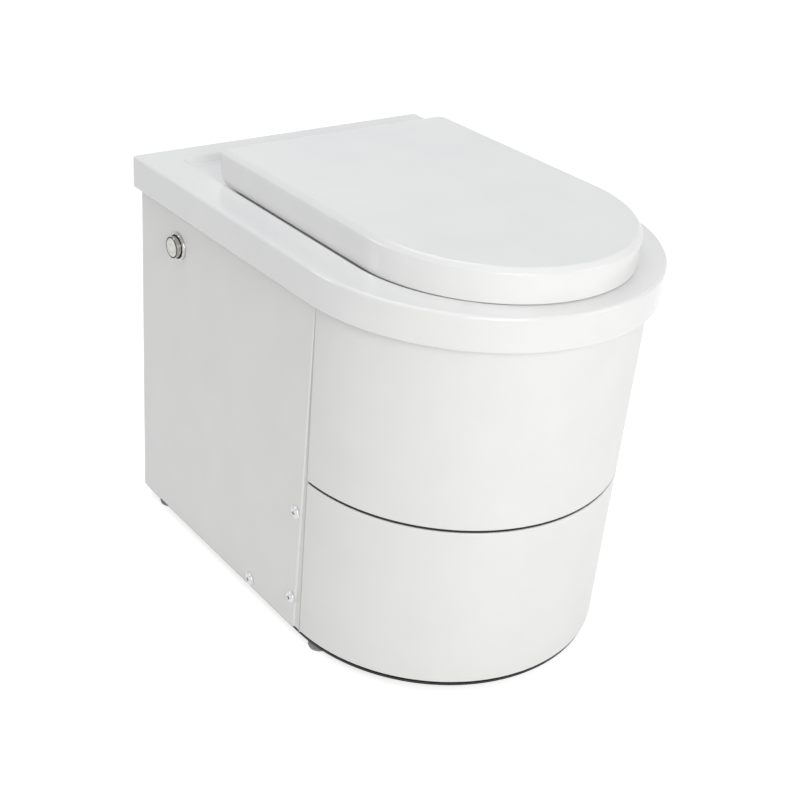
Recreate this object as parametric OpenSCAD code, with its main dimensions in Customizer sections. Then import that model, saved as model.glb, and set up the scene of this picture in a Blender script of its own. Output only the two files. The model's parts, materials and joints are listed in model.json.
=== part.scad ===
// Electric incinerating toilet: a D-shaped sheet-steel cabinet with a moulded cover, a slab seat and
// lid, a steel bowl with two swinging hatch flaps, a burn chamber over an ash drawer, and a blower.
// Millimetres. +Z is up, the rounded nose faces -Y, and the floor is z = 0.

/* [Cabinet] */
// Width across the flat side panels
body_w = 436; // [400:1:480]
// Length of the straight part, from the nose's centre to the rear panel's outer face
straight_l = 394; // [380:1:460]
// Thickness of the folded steel panels
sheet_t = 2; // [1.2:0.1:2.5]
// Height of the panels' lower edge above the floor
panel_z = 16; // [14:1:30]
// Height of the rim of the moulded cover above the floor
cover_z = 516; // [505:1:560]
// Height of the seam between the ash door and the upper front panel
seam_z = 240; // [230:1:248]
// Width of the dark seam above the ash door
seam_gap = 3.5; // [2:0.5:6]
// Gap between the side panels and the upper front panel
joint_gap = 1; // [0.5:0.25:3]
// How much wider that gap is at the upper front panel's foot
joint_relief = 3; // [0:0.5:4]
// How far the side panels' front edge leans back at the foot
panel_lean = 7.5; // [0:0.5:9]
// Depth of the folds along the panels' edges
fold = 18; // [12:1:20]

/* [Cover] */
// How far the cover stands out over the sides and the nose
overhang = 12.5; // [6:0.5:20]
// How far the cover stands out at the rear
rear_overhang = 2; // [0:1:10]
// Height of the cover's skirt
skirt_h = 41.5; // [30:0.5:48]
// Wall of the moulded cover
cover_t = 4; // [3:0.5:5]
// Depth of the dished deck under the rim
dish_depth = 8; // [5:0.5:10]
// Width of the sloping edge round the dish
dish_slope = 5; // [4:0.5:8]
// Distance from the lid's sides out to the dish's edge
dish_margin = 6; // [5:0.5:12]
// How far the dish's nose stays behind the lid's nose
dish_setback = 3; // [2:0.5:6]
// Width of the flat rim behind the dish
rear_rim = 33; // [18:1:45]

/* [Seat and lid] */
// Width of the lid
lid_w = 352; // [340:1:364]
// Distance of the lid's nose centre in front of the cabinet's nose centre
lid_forward = 27.5; // [20:0.5:34]
// Distance from the nose's centre back to the lid's rear end
lid_rear = 275; // [265:1:290]
// Height of the lid's skirt
lid_h = 39.4; // [36:0.2:44]
// Gap between the lid's nose and the level of the cover's rim
lid_gap = 1.6; // [1:0.2:4]
// How much lower the lid's edge hangs along its straight sides than at its nose
lid_dip = 3.4; // [0:0.2:4]
// Wall of the lid
lid_t = 4; // [3:0.5:5]
// Thickness of the seat ring
seat_t = 26; // [20:1:28]
// Half width of the hole in the seat
hole_r = 110; // [100:1:116]
// Length of the hole's straight sides
hole_straight = 68; // [40:1:90]
// Radius of the steel hinge pins
pin_r = 5; // [4:0.5:6]
// Distance from the centreline to the middle of each hinge post
hinge_x = 85; // [70:1:110]
// Width of each hinge post
post_w = 24; // [18:1:30]

/* [Bowl and hatch] */
// Half width of the bowl at its rim
bowl_r = 118; // [114:1:122]
// Half width of the bowl's outlet
outlet_r = 66; // [58:1:70]
// Wall of the pressed steel bowl
bowl_t = 1.6; // [1:0.1:2.5]
// Height of the outlet above the floor
outlet_z = 383; // [378:1:390]
// Thickness of the hatch flaps
flap_t = 2.5; // [2:0.1:4]
// Number of teeth on a full hatch gear, which sets the distance between the hatch shafts
gear_teeth = 78; // [76:2:84]
// Module of the hatch gears
gear_module = 2; // [2:0.5:2]
// Radius of the hatch shafts
shaft_r = 4; // [3:0.5:5]

/* [Burner] */
// Half width of the burn chamber, inside
chamber_hw = 100; // [90:1:104]
// Length of the burn chamber, inside
chamber_l = 240; // [220:1:250]
// Thickness of the insulation round the chamber
insulation_t = 25; // [18:1:27]
// Height of the shelf that carries the chamber and the bowl's chute
shelf_z = 285; // [278:1:290]
// Radius of the heating rod
rod_r = 4; // [3:0.5:5]

/* [Ash drawer] */
// Travel of the ash drawer
drawer_travel = 330; // [300:5:340]
// Depth of the ash pan
pan_h = 70; // [50:1:80]
// Wall of the ash pan and the drawer tray
pan_t = 2; // [1.5:0.1:3]
// Running clearance between the ash pan and the chamber above it
pan_gap = 3; // [2:0.5:6]
// Length of the drawer runners
runner_l = 440; // [400:5:450]
// Gap between the side panels and the ash door, at its top
door_gap = 4.2; // [1:0.1:6]
// How much wider that gap is at the door's foot
door_relief = 2.6; // [0:0.1:6]

/* [Exhaust] */
// Outer radius of the flue collar
flue_r = 50; // [40:1:55]
// Length of the flue collar behind the rear panel
flue_l = 61.5; // [40:0.5:80]
// Height of the flue's centre above the floor
flue_z = 332; // [325:1:345]
// Outer radius of the blower's impeller
impeller_r = 54; // [45:1:58]
// Number of blades on the impeller
blades = 24; // [16:1:32]

/* [Start button] */
// Radius of the button's bezel
bezel_r = 21; // [18:0.5:24]
// Radius of the button's cap
cap_r = 16.5; // [13:0.5:17]
// Distance from the nose's centre back to the button
button_y = 300; // [280:1:330]
// Height of the button above the floor
button_z = 425; // [400:1:440]
// How far the button's cap stands out of the side panel
cap_out = 10.5; // [8:0.5:10.5]
// Travel of the button
button_travel = 3; // [2:0.5:4]

/* [Hidden] */
$fn = 96;

body_hw = body_w / 2;
cover_hw = body_hw + overhang;
cover_rear = straight_l + rear_overhang;
rear_end = straight_l + flue_l;
mid_y = (rear_end - cover_hw) / 2;
skirt_z = cover_z - skirt_h;
deck_z = cover_z - dish_depth;
rest_gap = 0.2;
panel_top = deck_z - cover_t - rest_gap;
rear_top = skirt_z - rest_gap;
dish_hw = lid_w / 2 + dish_margin;
dish_centre = dish_margin + dish_setback - lid_forward;
dish_rear = cover_rear - rear_rim;

base_t = 3;
base_z = panel_z - 4;
base_top = base_z + base_t;

post_side = 22;
frame_x = body_hw - sheet_t;
frame_t = 2;
rail_h = 70;
runner_z = base_top + 30;
runner_h = 34;
runner_x = frame_x - 16;

lid_hw = lid_w / 2;
lid_z = cover_z + lid_gap;
lid_low = lid_z - lid_dip;
lid_top = lid_z + lid_h;
axis_back = 19;
axis_y = lid_rear - axis_back;
axis_z = lid_top - axis_back;
seat_hw = lid_hw - lid_t - 2.5;
seat_z = deck_z + 6;
seat_top = seat_z + seat_t;
seat_rear = axis_y - 26;
lug_w = 12;
lug_gap = 1;
pin_clear = 0.05;

bowl_y0 = -45;
bowl_y1 = 15;
shaft_x = gear_teeth * gear_module / 2;
flap_z = outlet_z - 1.5 - flap_t;
shaft_z = flap_z - shaft_r - 0.2;
chute_hw = shaft_x + 18;
chute_y0 = bowl_y0 - outlet_r - 11;
chute_y1 = bowl_y1 + outlet_r + 11;
chute_t = 2;
chute_top = outlet_z + 12;
gear_y = chute_y1 + 58;
gear_w = 6;
motor_y = gear_y + gear_w + 8;

chamber_y0 = -135;
chamber_y1 = chamber_y0 + chamber_l;
liner_t = 2;
liner_corner = 25;
pan_z = base_top + 17;
chamber_z = pan_z + pan_h + pan_gap;
casing_grow = liner_t + insulation_t + 2;
casing_y1 = chamber_y1 + casing_grow;
exhaust_x = -72;
exhaust_z = 232;
exhaust_r = 36;
port_hw = exhaust_r - 12;

fan_y = 300;
fan_z = flue_z - 42;
fan_w = 60;
scroll_r = 76;
suction_x0 = -134;

// Puts the nose's centre in front of the origin, so that the origin is under the middle of the whole
module place() {
    translate([0, -mid_y, 0]) children();
}

module both_sides() {
    children();
    mirror([1, 0, 0]) children();
}

// D-shaped outline with its round end towards -Y
module d_outline(hw, rear, centre = 0) {
    translate([-hw, centre]) square([2 * hw, rear - centre]);
    intersection() {
        translate([0, centre]) circle(hw);
        translate([-hw, centre - hw]) square([2 * hw, hw]);
    }
}

// D-shaped solid whose edge follows a profile of [inset, height] points from bottom to top.
// The rear end may follow a profile of its own.
module d_solid(hw, rear, profile, centre = 0, rear_profile = undef) {
    back = rear_profile == undef ? profile : rear_profile;
    n = len(profile);
    low = profile[0][1];
    high = profile[n - 1][1];
    translate([0, centre, 0])
        rotate([0, 0, 180])
            rotate_extrude(angle = 180)
                polygon([[0, low], each [for (p = profile) [hw - p[0], p[1]]], [0, high]]);
    intersection() {
        translate([0, rear, 0])
            rotate([90, 0, 0])
                linear_extrude(rear - centre)
                    polygon([
                        each [for (p = profile) [hw - p[0], p[1]]],
                        each [for (i = [n - 1:-1:0]) [profile[i][0] - hw, profile[i][1]]]
                    ]);
        translate([-hw, 0, 0])
            rotate([90, 0, 90])
                linear_extrude(2 * hw)
                    polygon([[centre, low], each [for (p = back) [rear - p[0], p[1]]], [centre, high]]);
    }
}

// Long round-ended solid between two centres on the Y axis, with an edge profile as above
module stadium_solid(hw, y0, y1, profile) {
    n = len(profile);
    low = profile[0][1];
    high = profile[n - 1][1];
    half = [[0, low], each [for (p = profile) [hw - p[0], p[1]]], [0, high]];
    translate([0, y0, 0]) rotate([0, 0, 180]) rotate_extrude(angle = 180) polygon(half);
    translate([0, y1, 0]) rotate_extrude(angle = 180) polygon(half);
    translate([0, y1, 0])
        rotate([90, 0, 0])
            linear_extrude(y1 - y0)
                polygon([
                    each [for (p = profile) [hw - p[0], p[1]]],
                    each [for (i = [n - 1:-1:0]) [profile[i][0] - hw, profile[i][1]]]
                ]);
}

module stadium(hw, y0, y1, z0, z1) {
    stadium_solid(hw, y0, y1, [[0, z0], [0, z1]]);
}

// Profile points of an upright wall whose foot and head are rounded
function round_edges(z0, z1, foot_r, head_r, steps = 5) = [
    each [for (i = [0:steps]) let (a = 90 * i / steps)
        [foot_r * (1 - sin(a)), z0 + foot_r * (1 - cos(a))]],
    each [for (i = [0:steps]) let (a = 90 * i / steps)
        [head_r * (1 - cos(a)), z1 - head_r * (1 - sin(a))]]
];

// Box with upright rounded corners, made of a cross of plates and four posts
module round_box(x0, x1, y0, y1, z0, z1, r) {
    translate([0, 0, z0])
        linear_extrude(z1 - z0) {
            translate([x0 + r, y0]) square([x1 - x0 - 2 * r, y1 - y0]);
            translate([x0, y0 + r]) square([x1 - x0, y1 - y0 - 2 * r]);
            for (x = [x0 + r, x1 - r], y = [y0 + r, y1 - r]) translate([x, y]) circle(r);
        }
}

module rod_x(r, x0, x1, y, z) {
    translate([x0, y, z]) rotate([0, 90, 0]) cylinder(r = r, h = x1 - x0);
}

module rod_y(r, y0, y1, x, z) {
    translate([x, y0, z]) rotate([-90, 0, 0]) cylinder(r = r, h = y1 - y0);
}

module block(x0, x1, y0, y1, z0, z1) {
    translate([x0, y0, z0]) cube([x1 - x0, y1 - y0, z1 - z0]);
}

// Moulded cover: skirt, rounded edge, dished deck and the hole that the bowl hangs in
module top_cover() {
    edge_r = 4;
    color("white")
        difference() {
            d_solid(cover_hw, cover_rear, round_edges(skirt_z, cover_z, 1.5, edge_r));
            d_solid(cover_hw - cover_t, cover_rear - cover_t,
                [[0, skirt_z - 1], [0, deck_z - cover_t - 2], [2, deck_z - cover_t]]);
            d_solid(dish_hw, dish_rear,
                [[dish_slope, deck_z], [dish_slope - 1, deck_z + 0.6],
                 [1, cover_z - 1], [0, cover_z], [0, cover_z + 1]], dish_centre,
                [[dish_slope + 3, deck_z], [dish_slope + 1, deck_z + 0.6],
                 [2, cover_z - 1], [0, cover_z], [0, cover_z + 1]]);
            stadium(bowl_r + 4, bowl_y0, bowl_y1, deck_z - cover_t - 1, deck_z + 1);
            both_sides()
                translate([hinge_x, axis_y, deck_z - cover_t - 1]) cylinder(r = 4.5, h = cover_t + 2);
        }
    // Ribs under the deck, running out to the skirt
    color("white")
        for (y = [dish_rear - 60, dish_rear - 130])
            both_sides()
                block(bowl_r + 20, body_hw - sheet_t - 1, y, y + 3,
                    deck_z - cover_t - 10, deck_z - cover_t + 0.01);
}

// The screws that each side panel shows: two up its front edge and one along its foot
screw_x = body_hw;
screw_pitch = 128;
side_screw_places = [
    [16, panel_z + 42], [16, panel_z + 42 + screw_pitch], [110, panel_z + 10]
];
screw_hole_r = 2.8;
screw_r = 2.5;

module side_screw_holes() {
    for (s = side_screw_places)
        rod_x(screw_hole_r, body_hw - fold, body_hw + 1, s[0], s[1]);
}

// Plate between two distances from the centreline, with the given outline seen from the side
module side_plate(x0, x1, outline) {
    translate([x0, 0, 0]) rotate([90, 0, 90]) linear_extrude(x1 - x0) polygon(outline);
}

lip_x = body_hw - fold - 0.5;
lip_w = 9;

// Flat side panel whose front edge leans back towards the foot. It is folded inwards there and
// then forwards, to close the joint behind the front panels. The left one has the button's hole.
module side_panel(has_button) {
    color("gainsboro")
        difference() {
            union() {
                side_plate(body_hw - sheet_t, body_hw, [
                    [0, panel_top], [panel_lean, panel_z],
                    [straight_l - sheet_t, panel_z], [straight_l - sheet_t, rear_top],
                    [straight_l - cover_t - 1, rear_top], [straight_l - cover_t - 1, panel_top]
                ]);
                side_plate(lip_x - sheet_t, body_hw - sheet_t + 0.01, [
                    [0, panel_top], [panel_lean, panel_z],
                    [panel_lean + sheet_t, panel_z], [sheet_t, panel_top]
                ]);
                side_plate(lip_x - sheet_t, lip_x, [
                    [-lip_w, panel_top], [-lip_w, panel_z],
                    [panel_lean + sheet_t, panel_z], [sheet_t, panel_top]
                ]);
            }
            side_screw_holes();
            if (has_button) rod_x(cap_r + 1.8, body_hw - fold, body_hw + 1, button_y, button_z);
        }
}

// Rear panel with louvres, the flue's hole and the power inlet's hole
module rear_panel() {
    color("gainsboro")
        difference() {
            union() {
                block(-body_hw, body_hw, straight_l - sheet_t, straight_l, panel_z, rear_top);
                both_sides()
                    block(body_hw - 2 * sheet_t, body_hw - sheet_t, straight_l - fold,
                        straight_l - sheet_t, panel_z, rear_top);
            }
            rod_y(flue_r - 1.5, straight_l - fold, straight_l + 1, 0, flue_z);
            block(inlet_x - inlet_hw, inlet_x + inlet_hw, straight_l - fold, straight_l + 1,
                inlet_z - inlet_hh, inlet_z + inlet_hh);
            for (row = [0:7])
                for (x = [-120, 0, 120])
                    block(x - 45, x + 45, straight_l - fold, straight_l + 1,
                        panel_z + 50 + row * 12, panel_z + 55 + row * 12);
            both_sides()
                for (z = rear_screw_z)
                    rod_y(screw_hole_r, straight_l - sheet_t - 1, straight_l + 1, rear_screw_x, z);
        }
}

inlet_x = 150;
inlet_z = 40;
inlet_hw = 14;
inlet_hh = 10;
rear_screw_x = body_hw - 12;
rear_screw_z = [panel_z + 30, (panel_z + panel_top) / 2, skirt_z - 20];

// Half ring of folded sheet that closes the nose between two heights
module nose_panel(z0, z1, gap, return_t) {
    difference() {
        intersection() {
            translate([0, 0, z0]) cylinder(r = body_hw, h = z1 - z0);
            block(-body_hw, body_hw, -body_hw, -gap, z0, z1);
        }
        translate([0, 0, z0 - 1]) cylinder(r = body_hw - fold, h = z1 - z0 + 2);
        difference() {
            translate([0, 0, z0 + sheet_t]) cylinder(r = body_hw - sheet_t, h = z1 - z0 - 2 * sheet_t);
            block(-body_hw, body_hw, -gap - return_t, 0, z0, z1);
        }
    }
}

// Wedge that eases a front panel's side edges towards its foot
module edge_relief(z0, z1, gap, relief) {
    side_plate(-body_hw - 1, body_hw + 1, [
        [1, z0 - 1], [-gap - relief, z0 - 1], [-gap, z1 - 12], [-gap, z1 + 1], [1, z1 + 1]
    ]);
}

module upper_front_panel() {
    z0 = seam_z + seam_gap / 2;
    color("whitesmoke")
        difference() {
            nose_panel(z0, panel_top, joint_gap, joint_relief + sheet_t);
            edge_relief(z0, panel_top, joint_gap, joint_relief);
        }
}

// Lower front panel, the drawer's front. Its side edges are relieved towards the foot.
module ash_door() {
    z0 = panel_z + 4;
    z1 = seam_z - seam_gap / 2;
    color("whitesmoke") {
        difference() {
            nose_panel(z0, z1, door_gap, door_relief + sheet_t);
            edge_relief(z0, z1, door_gap, door_relief);
        }
        // Two uprights that carry the tray and stiffen the door
        both_sides()
            block(tray_hw - 20, tray_hw, tray_front - 2, tray_front, z0 + sheet_t, z1 - sheet_t);
    }
}

tray_hw = runner_x - runner_h / 2 - 1;
tray_front = -sqrt(pow(body_hw - sheet_t, 2) - pow(tray_hw, 2)) + 2.2;

// Black base plate with an upturned edge behind each side panel
module base_plate() {
    inset = 2.5;
    color("black")
        difference() {
            union() {
                translate([0, 0, base_z])
                    linear_extrude(base_t) d_outline(body_hw - inset, straight_l - inset);
                both_sides()
                    block(frame_x - frame_t - post_side, frame_x - frame_t - post_side + 2, 30,
                        straight_l - 60, base_top - 0.01, base_top + 12);
            }
            for (f = foot_places) translate([f[0], f[1], base_z - 1]) cylinder(r = 4.3, h = base_t + 2);
        }
}

foot_inset = 19;
nut_h = 4;
foot_places = [
    [-(body_hw - foot_inset), -24], [body_hw - foot_inset, -24],
    [-(body_hw - foot_inset), straight_l - 40], [body_hw - foot_inset, straight_l - 40]
];
foot_pad_r = 14;

// Adjustable feet: a ribbed pad and a stud that passes through the base plate
module levelling_feet() {
    color("silver")
        for (f = foot_places)
            translate([f[0], f[1], 0]) {
                cylinder(r = foot_pad_r - 1, h = 2);
                translate([0, 0, 2]) cylinder(r = foot_pad_r, h = base_z - 4);
                translate([0, 0, base_z - 2]) cylinder(r = 7, h = 2);
                translate([0, 0, base_z]) cylinder(r = 4, h = base_t + nut_h + 0.5);
            }
}

module foot_locknuts() {
    color("silver")
        for (f = foot_places)
            translate([f[0], f[1], base_top])
                difference() {
                    cylinder(r = 7.5, h = nut_h, $fn = 6);
                    translate([0, 0, -1]) cylinder(r = 4.05, h = nut_h + 2);
                }
}

// Folded steel side frame: front and rear posts, a foot rail, a runner rail and a head rail
module side_frame() {
    z0 = base_top;
    z1 = skirt_z - 4;
    x1 = frame_x - 0.01;
    x0 = frame_x - post_side;
    y0 = panel_lean + sheet_t + 1;
    y1 = straight_l - fold - 1;
    color("lightslategray")
        difference() {
            union() {
                for (y = [y0, y1 - frame_t]) block(x0, x1, y, y + frame_t, z0, z1);
                block(x1 - frame_t, x1, y0, y0 + 26, z0, z1);
                block(x1 - frame_t, x1, y1 - 26, y1, z0, z1);
                block(x1 - frame_t, x1, y0, y1, z0, z0 + rail_h + 20);
                block(x1 - frame_t, x1, y0, y1, shelf_z - 20, shelf_z);
                block(x0, x1, y0, y1, shelf_z - frame_t, shelf_z);
                block(x1 - frame_t, x1, y0, y1, z1 - 24, z1);
            }
            for (s = side_screw_places) rod_x(screw_r - 0.3, x0 - 1, x1 + 1, s[0], s[1]);
            rod_x(barrel_r + 8, x0 - 1, x1 + 1, button_y, button_z);
            for (f = foot_places)
                translate([abs(f[0]), f[1], z0 - 1]) cylinder(r = 9, h = 16);
        }
}

// Shelf across both frames, cut back round the nose, with the drop opening in it
module burner_shelf() {
    x1 = frame_x - post_side + 18;
    y0 = panel_lean + sheet_t + frame_t + 2;
    step_x = 140;
    color("lightslategray")
        difference() {
            union() {
                block(-x1, x1, y0, casing_y1 + 10, shelf_z, shelf_z + 2);
                block(-step_x, step_x, chamber_y0 - 10, y0 + 1, shelf_z, shelf_z + 2);
            }
            round_box(-chute_hw + chute_t, chute_hw - chute_t, chute_y0 + chute_t, chute_y1 - chute_t,
                shelf_z - 1, shelf_z + 3, 6);
        }
}

// Pan-head screw whose axis runs along +X, with a cross recess
module pan_screw(length) {
    head_r = 7;
    head_h = 3;
    rotate([0, 90, 0])
        difference() {
            union() {
                translate([0, 0, -length]) cylinder(r = screw_r, h = length + 0.01);
                rotate_extrude()
                    polygon([[0, 0], [head_r, 0], each [for (i = [0:5]) let (a = 90 * i / 5)
                        [3 + (head_r - 3) * cos(a), 0.5 + (head_h - 0.5) * sin(a)]], [0, head_h]]);
            }
            for (a = [0, 90])
                rotate([0, 0, a]) translate([-3.2, -0.7, head_h - 1.4]) cube([6.4, 1.4, 2]);
        }
}

module side_screws() {
    color("ghostwhite")
        for (s = side_screw_places)
            translate([screw_x, s[0], s[1]]) pan_screw(sheet_t);
}

module rear_screws() {
    color("ghostwhite")
        both_sides()
            for (z = rear_screw_z)
                translate([rear_screw_x, straight_l, z]) rotate([0, 0, 90]) pan_screw(sheet_t);
}

// Bowl profile: inset from the rim against height, for the inner surface
bowl_profile = [
    [bowl_r - outlet_r, outlet_z], [bowl_r - outlet_r, outlet_z + 12],
    [44, outlet_z + 20], [30, outlet_z + 36], [17, outlet_z + 56], [8, outlet_z + 80],
    [3, outlet_z + 104], [0, deck_z + 2]
];

// Width of the flange that the bowl rests on the deck with
bowl_rim = 12;

module bowl() {
    color("silver")
        difference() {
            union() {
                stadium_solid(bowl_r + bowl_t, bowl_y0, bowl_y1, bowl_profile);
                stadium(bowl_r + bowl_rim, bowl_y0, bowl_y1, deck_z + 1, deck_z + 1 + bowl_t);
            }
            stadium_solid(bowl_r, bowl_y0, bowl_y1, [
                [bowl_profile[0][0], outlet_z - 1],
                each [for (i = [1:len(bowl_profile) - 2]) bowl_profile[i]],
                [0, deck_z + 2], [-0.01, deck_z + bowl_t + 2]
            ]);
        }
}

module bowl_gasket() {
    color("dimgray")
        difference() {
            stadium(bowl_r + bowl_rim - 1, bowl_y0, bowl_y1, deck_z, deck_z + 1);
            stadium(bowl_r + 5, bowl_y0, bowl_y1, deck_z - 1, deck_z + 2);
        }
}

// Sheet box under the bowl that carries the two hatch shafts and leads down to the chamber
module hatch_chute() {
    z0 = shelf_z + 2;
    color("silver")
        difference() {
            round_box(-chute_hw, chute_hw, chute_y0, chute_y1, z0, chute_top, 8);
            round_box(-chute_hw + chute_t, chute_hw - chute_t, chute_y0 + chute_t, chute_y1 - chute_t,
                z0 - 1, chute_top - chute_t, 6);
            stadium(outlet_r + bowl_t + 0.4, bowl_y0, bowl_y1, chute_top - chute_t - 1, chute_top + 1);
            both_sides()
                rod_y(bush_r, chute_y0 - 1, chute_y1 + 1, shaft_x, shaft_z);
        }
}

bush_r = shaft_r + 3;
bush_l = 6;

// Flanged bushes for the shafts, four in all
module hatch_bushes() {
    color("peru")
        both_sides()
            for (side = [[chute_y0 + chute_t, -1], [chute_y1 - chute_t, 1]])
                difference() {
                    union() {
                        rod_y(bush_r, side[0] - (side[1] < 0 ? bush_l : 0),
                            side[0] + (side[1] > 0 ? bush_l : 0), shaft_x, shaft_z);
                        rod_y(bush_r + 3, side[0] + (side[1] < 0 ? 0 : -1.5),
                            side[0] + (side[1] < 0 ? 1.5 : 0), shaft_x, shaft_z);
                    }
                    rod_y(shaft_r + pin_clear, chute_y0 - 20, chute_y1 + 20, shaft_x, shaft_z);
                }
}

// One hatch flap, closing the right half of the outlet, with a turned-down lip and two clips
module hatch_flap() {
    y0 = chute_y0 + chute_t + 5;
    y1 = chute_y1 - chute_t - 5;
    color("silver")
        difference() {
            union() {
                block(0.4, shaft_x - 1, y0, y1, flap_z, flap_z + flap_t);
                block(0.4, 2.4, y0, y1, flap_z - 6, flap_z + 0.01);
                for (y = [y0 + 10, y1 - 30])
                    difference() {
                        union() {
                            rod_y(shaft_r + 2, y, y + 20, shaft_x, shaft_z);
                            block(shaft_x - 14, shaft_x, y, y + 20, shaft_z, flap_z + 0.01);
                        }
                        rod_y(shaft_r, y - 1, y + 21, shaft_x, shaft_z);
                    }
            }
            rod_y(shaft_r, y0 - 1, y1 + 1, shaft_x, shaft_z);
        }
}

module hatch_shaft(rear_y) {
    color("gray") rod_y(shaft_r, chute_y0 - 8, rear_y, shaft_x, shaft_z);
}

// Straight-flanked tooth profile of a gear of the given number of teeth, as a list of points
function tooth_points(teeth, first, last, mod, half_share) = [
    for (i = [first:last]) let (a = 360 / teeth, r = teeth * mod / 2)
        each [
            [r - 1.2 * mod, (i - half_share * 1.45) * a], [r + 0.92 * mod, (i - half_share * 0.42) * a],
            [r + 0.92 * mod, (i + half_share * 0.42) * a], [r - 1.2 * mod, (i + half_share * 1.45) * a]
        ]
];

// Sector gear about its shaft. The teeth that take part in the swing run upwards from the mesh point.
// shift turns the teeth by a share of a pitch, so that one gear's tooth meets the other's gap.
module sector_gear(shift) {
    first = -1;
    last = 20;
    pitch_a = 360 / gear_teeth;
    root = shaft_x - 1.2 * gear_module;
    teeth = tooth_points(gear_teeth, first, last, gear_module, 0.215);
    arm_a0 = (first - 0.5 + shift) * pitch_a;
    arm_a1 = (last + 0.5 + shift) * pitch_a;
    color("peru")
        translate([shaft_x, gear_y + gear_w, shaft_z])
            rotate([90, 0, 0])
                difference() {
                    union() {
                        linear_extrude(gear_w)
                            polygon([[0, 0],
                                for (t = teeth)
                                    let (a = t[1] + shift * pitch_a) [-t[0] * cos(a), t[0] * sin(a)]]);
                        cylinder(r = shaft_r + 7, h = gear_w + 4);
                    }
                    translate([0, 0, -1]) cylinder(r = shaft_r, h = gear_w + 6);
                    translate([0, 0, -1])
                        linear_extrude(gear_w + 2)
                            difference() {
                                intersection() {
                                    circle(root - 8);
                                    polygon([[0, 0],
                                        each [for (i = [0:6])
                                            let (a = arm_a0 + 8 + (arm_a1 - arm_a0 - 16) * i / 6)
                                            [-1.2 * root * cos(a), 1.2 * root * sin(a)]]]);
                                }
                                circle(shaft_r + 14);
                                rotate(-(arm_a0 + arm_a1) / 2) translate([-root, -5]) square([root, 10]);
                            }
                }
}

gearbox_r = 20;
gearbox_l = 22;
motor_l = 36;

// Geared motor on the end of the left hatch shaft
module hatch_motor() {
    y1 = motor_y + gearbox_l + motor_l;
    color("dimgray") {
        rod_y(gearbox_r, motor_y, motor_y + gearbox_l, -shaft_x, shaft_z);
        rod_y(gearbox_r - 6, motor_y + gearbox_l, y1, -shaft_x, shaft_z);
        rod_y(3, y1, y1 + 4, -shaft_x, shaft_z);
    }
}

// Bracket that stands on the shelf's rear edge and holds the motor's face
module hatch_motor_bracket() {
    y0 = motor_y - 3;
    color("lightslategray")
        difference() {
            union() {
                block(-shaft_x - 24, -shaft_x + 24, y0, motor_y, shelf_z + 2, shaft_z + 24);
                block(-shaft_x - 24, -shaft_x + 24, chute_y1 + 0.5, motor_y, shelf_z + 2, shelf_z + 5);
            }
            rod_y(shaft_r + 3, y0 - 1, motor_y + 1, -shaft_x, shaft_z);
        }
}

// Rounded box round the chamber, from one height to another, grown by the given amount on every side
module chamber_box(grow, z0, z1) {
    round_box(-chamber_hw - grow, chamber_hw + grow, chamber_y0 - grow, chamber_y1 + grow,
        z0, z1, liner_corner + grow);
}

// Square passage for the hot gas
module exhaust_port(y0, y1) {
    block(exhaust_x - port_hw, exhaust_x + port_hw, y0, y1, exhaust_z - port_hw, exhaust_z + port_hw);
}

// Drop opening in the roof, the exhaust port and the holes for the heating rod and the probe
module chamber_holes(clear) {
    round_box(-chute_hw + chute_t, chute_hw - chute_t, chute_y0 + chute_t, chute_y1 - chute_t,
        roof_z - 1, shelf_z + 1, 6);
    exhaust_port(chamber_y1 - 5, casing_y1 + 1);
    for (i = [0, 1])
        rod_y(rod_r + clear, chamber_y1 - 5, casing_y1 + 5, element_ends[i],
            element_z(i * (element_turns - 1)));
    rod_y(3 + clear, chamber_y1 - 5, casing_y1 + 5, probe_x, exhaust_z);
}

probe_x = 60;
insulation_roof = 20;
roof_z = shelf_z - 2 - insulation_roof - liner_t;
skin_gap = 0.1;

// Inner chamber: a welded liner, open below, with the drop opening in its roof and a port at its rear
module chamber_liner() {
    color("silver")
        difference() {
            chamber_box(liner_t, chamber_z, roof_z + liner_t);
            chamber_box(0, chamber_z - 1, roof_z);
            chamber_holes(0.3);
        }
}

module chamber_insulation() {
    color("ivory")
        difference() {
            chamber_box(liner_t + insulation_t - skin_gap, chamber_z + 1.6, shelf_z - 2 - skin_gap);
            chamber_box(liner_t + skin_gap, chamber_z - 1, roof_z + liner_t + skin_gap);
            chamber_holes(0.3);
        }
}

// Outer casing, with a foot flange that closes the gap to the liner
module chamber_casing() {
    color("gray")
        difference() {
            chamber_box(casing_grow, chamber_z, shelf_z);
            chamber_box(liner_t + insulation_t, chamber_z + 1.5, shelf_z - 2);
            chamber_box(liner_t + skin_gap, chamber_z - 1, chamber_z + 2);
            chamber_holes(0.3);
        }
}

// Heating rod: three flat turns round the chamber's wall, joined by risers, with both ends at the rear
element_inset = 12;
element_pitch = 28;
element_turns = 3;
element_ends = [-14, 14];
function element_z(turn) = chamber_z + 40 + turn * element_pitch;

module element_turn(z) {
    x = chamber_hw - element_inset;
    y0 = chamber_y0 + element_inset;
    y1 = chamber_y1 - element_inset;
    r = 16;
    translate([-x + r, y0, z]) rotate([0, 90, 0]) cylinder(r = rod_r, h = 2 * (x - r));
    both_sides() {
        rod_y(rod_r, y0 + r, y1 - r, x, z);
        rod_x(rod_r, element_ends[1], x - r, y1, z);
        for (c = [[y0 + r, -90], [y1 - r, 0]])
            translate([x - r, c[0], z])
                rotate([0, 0, c[1]])
                    rotate_extrude(angle = 90) translate([r, 0]) circle(rod_r);
    }
}

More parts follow.
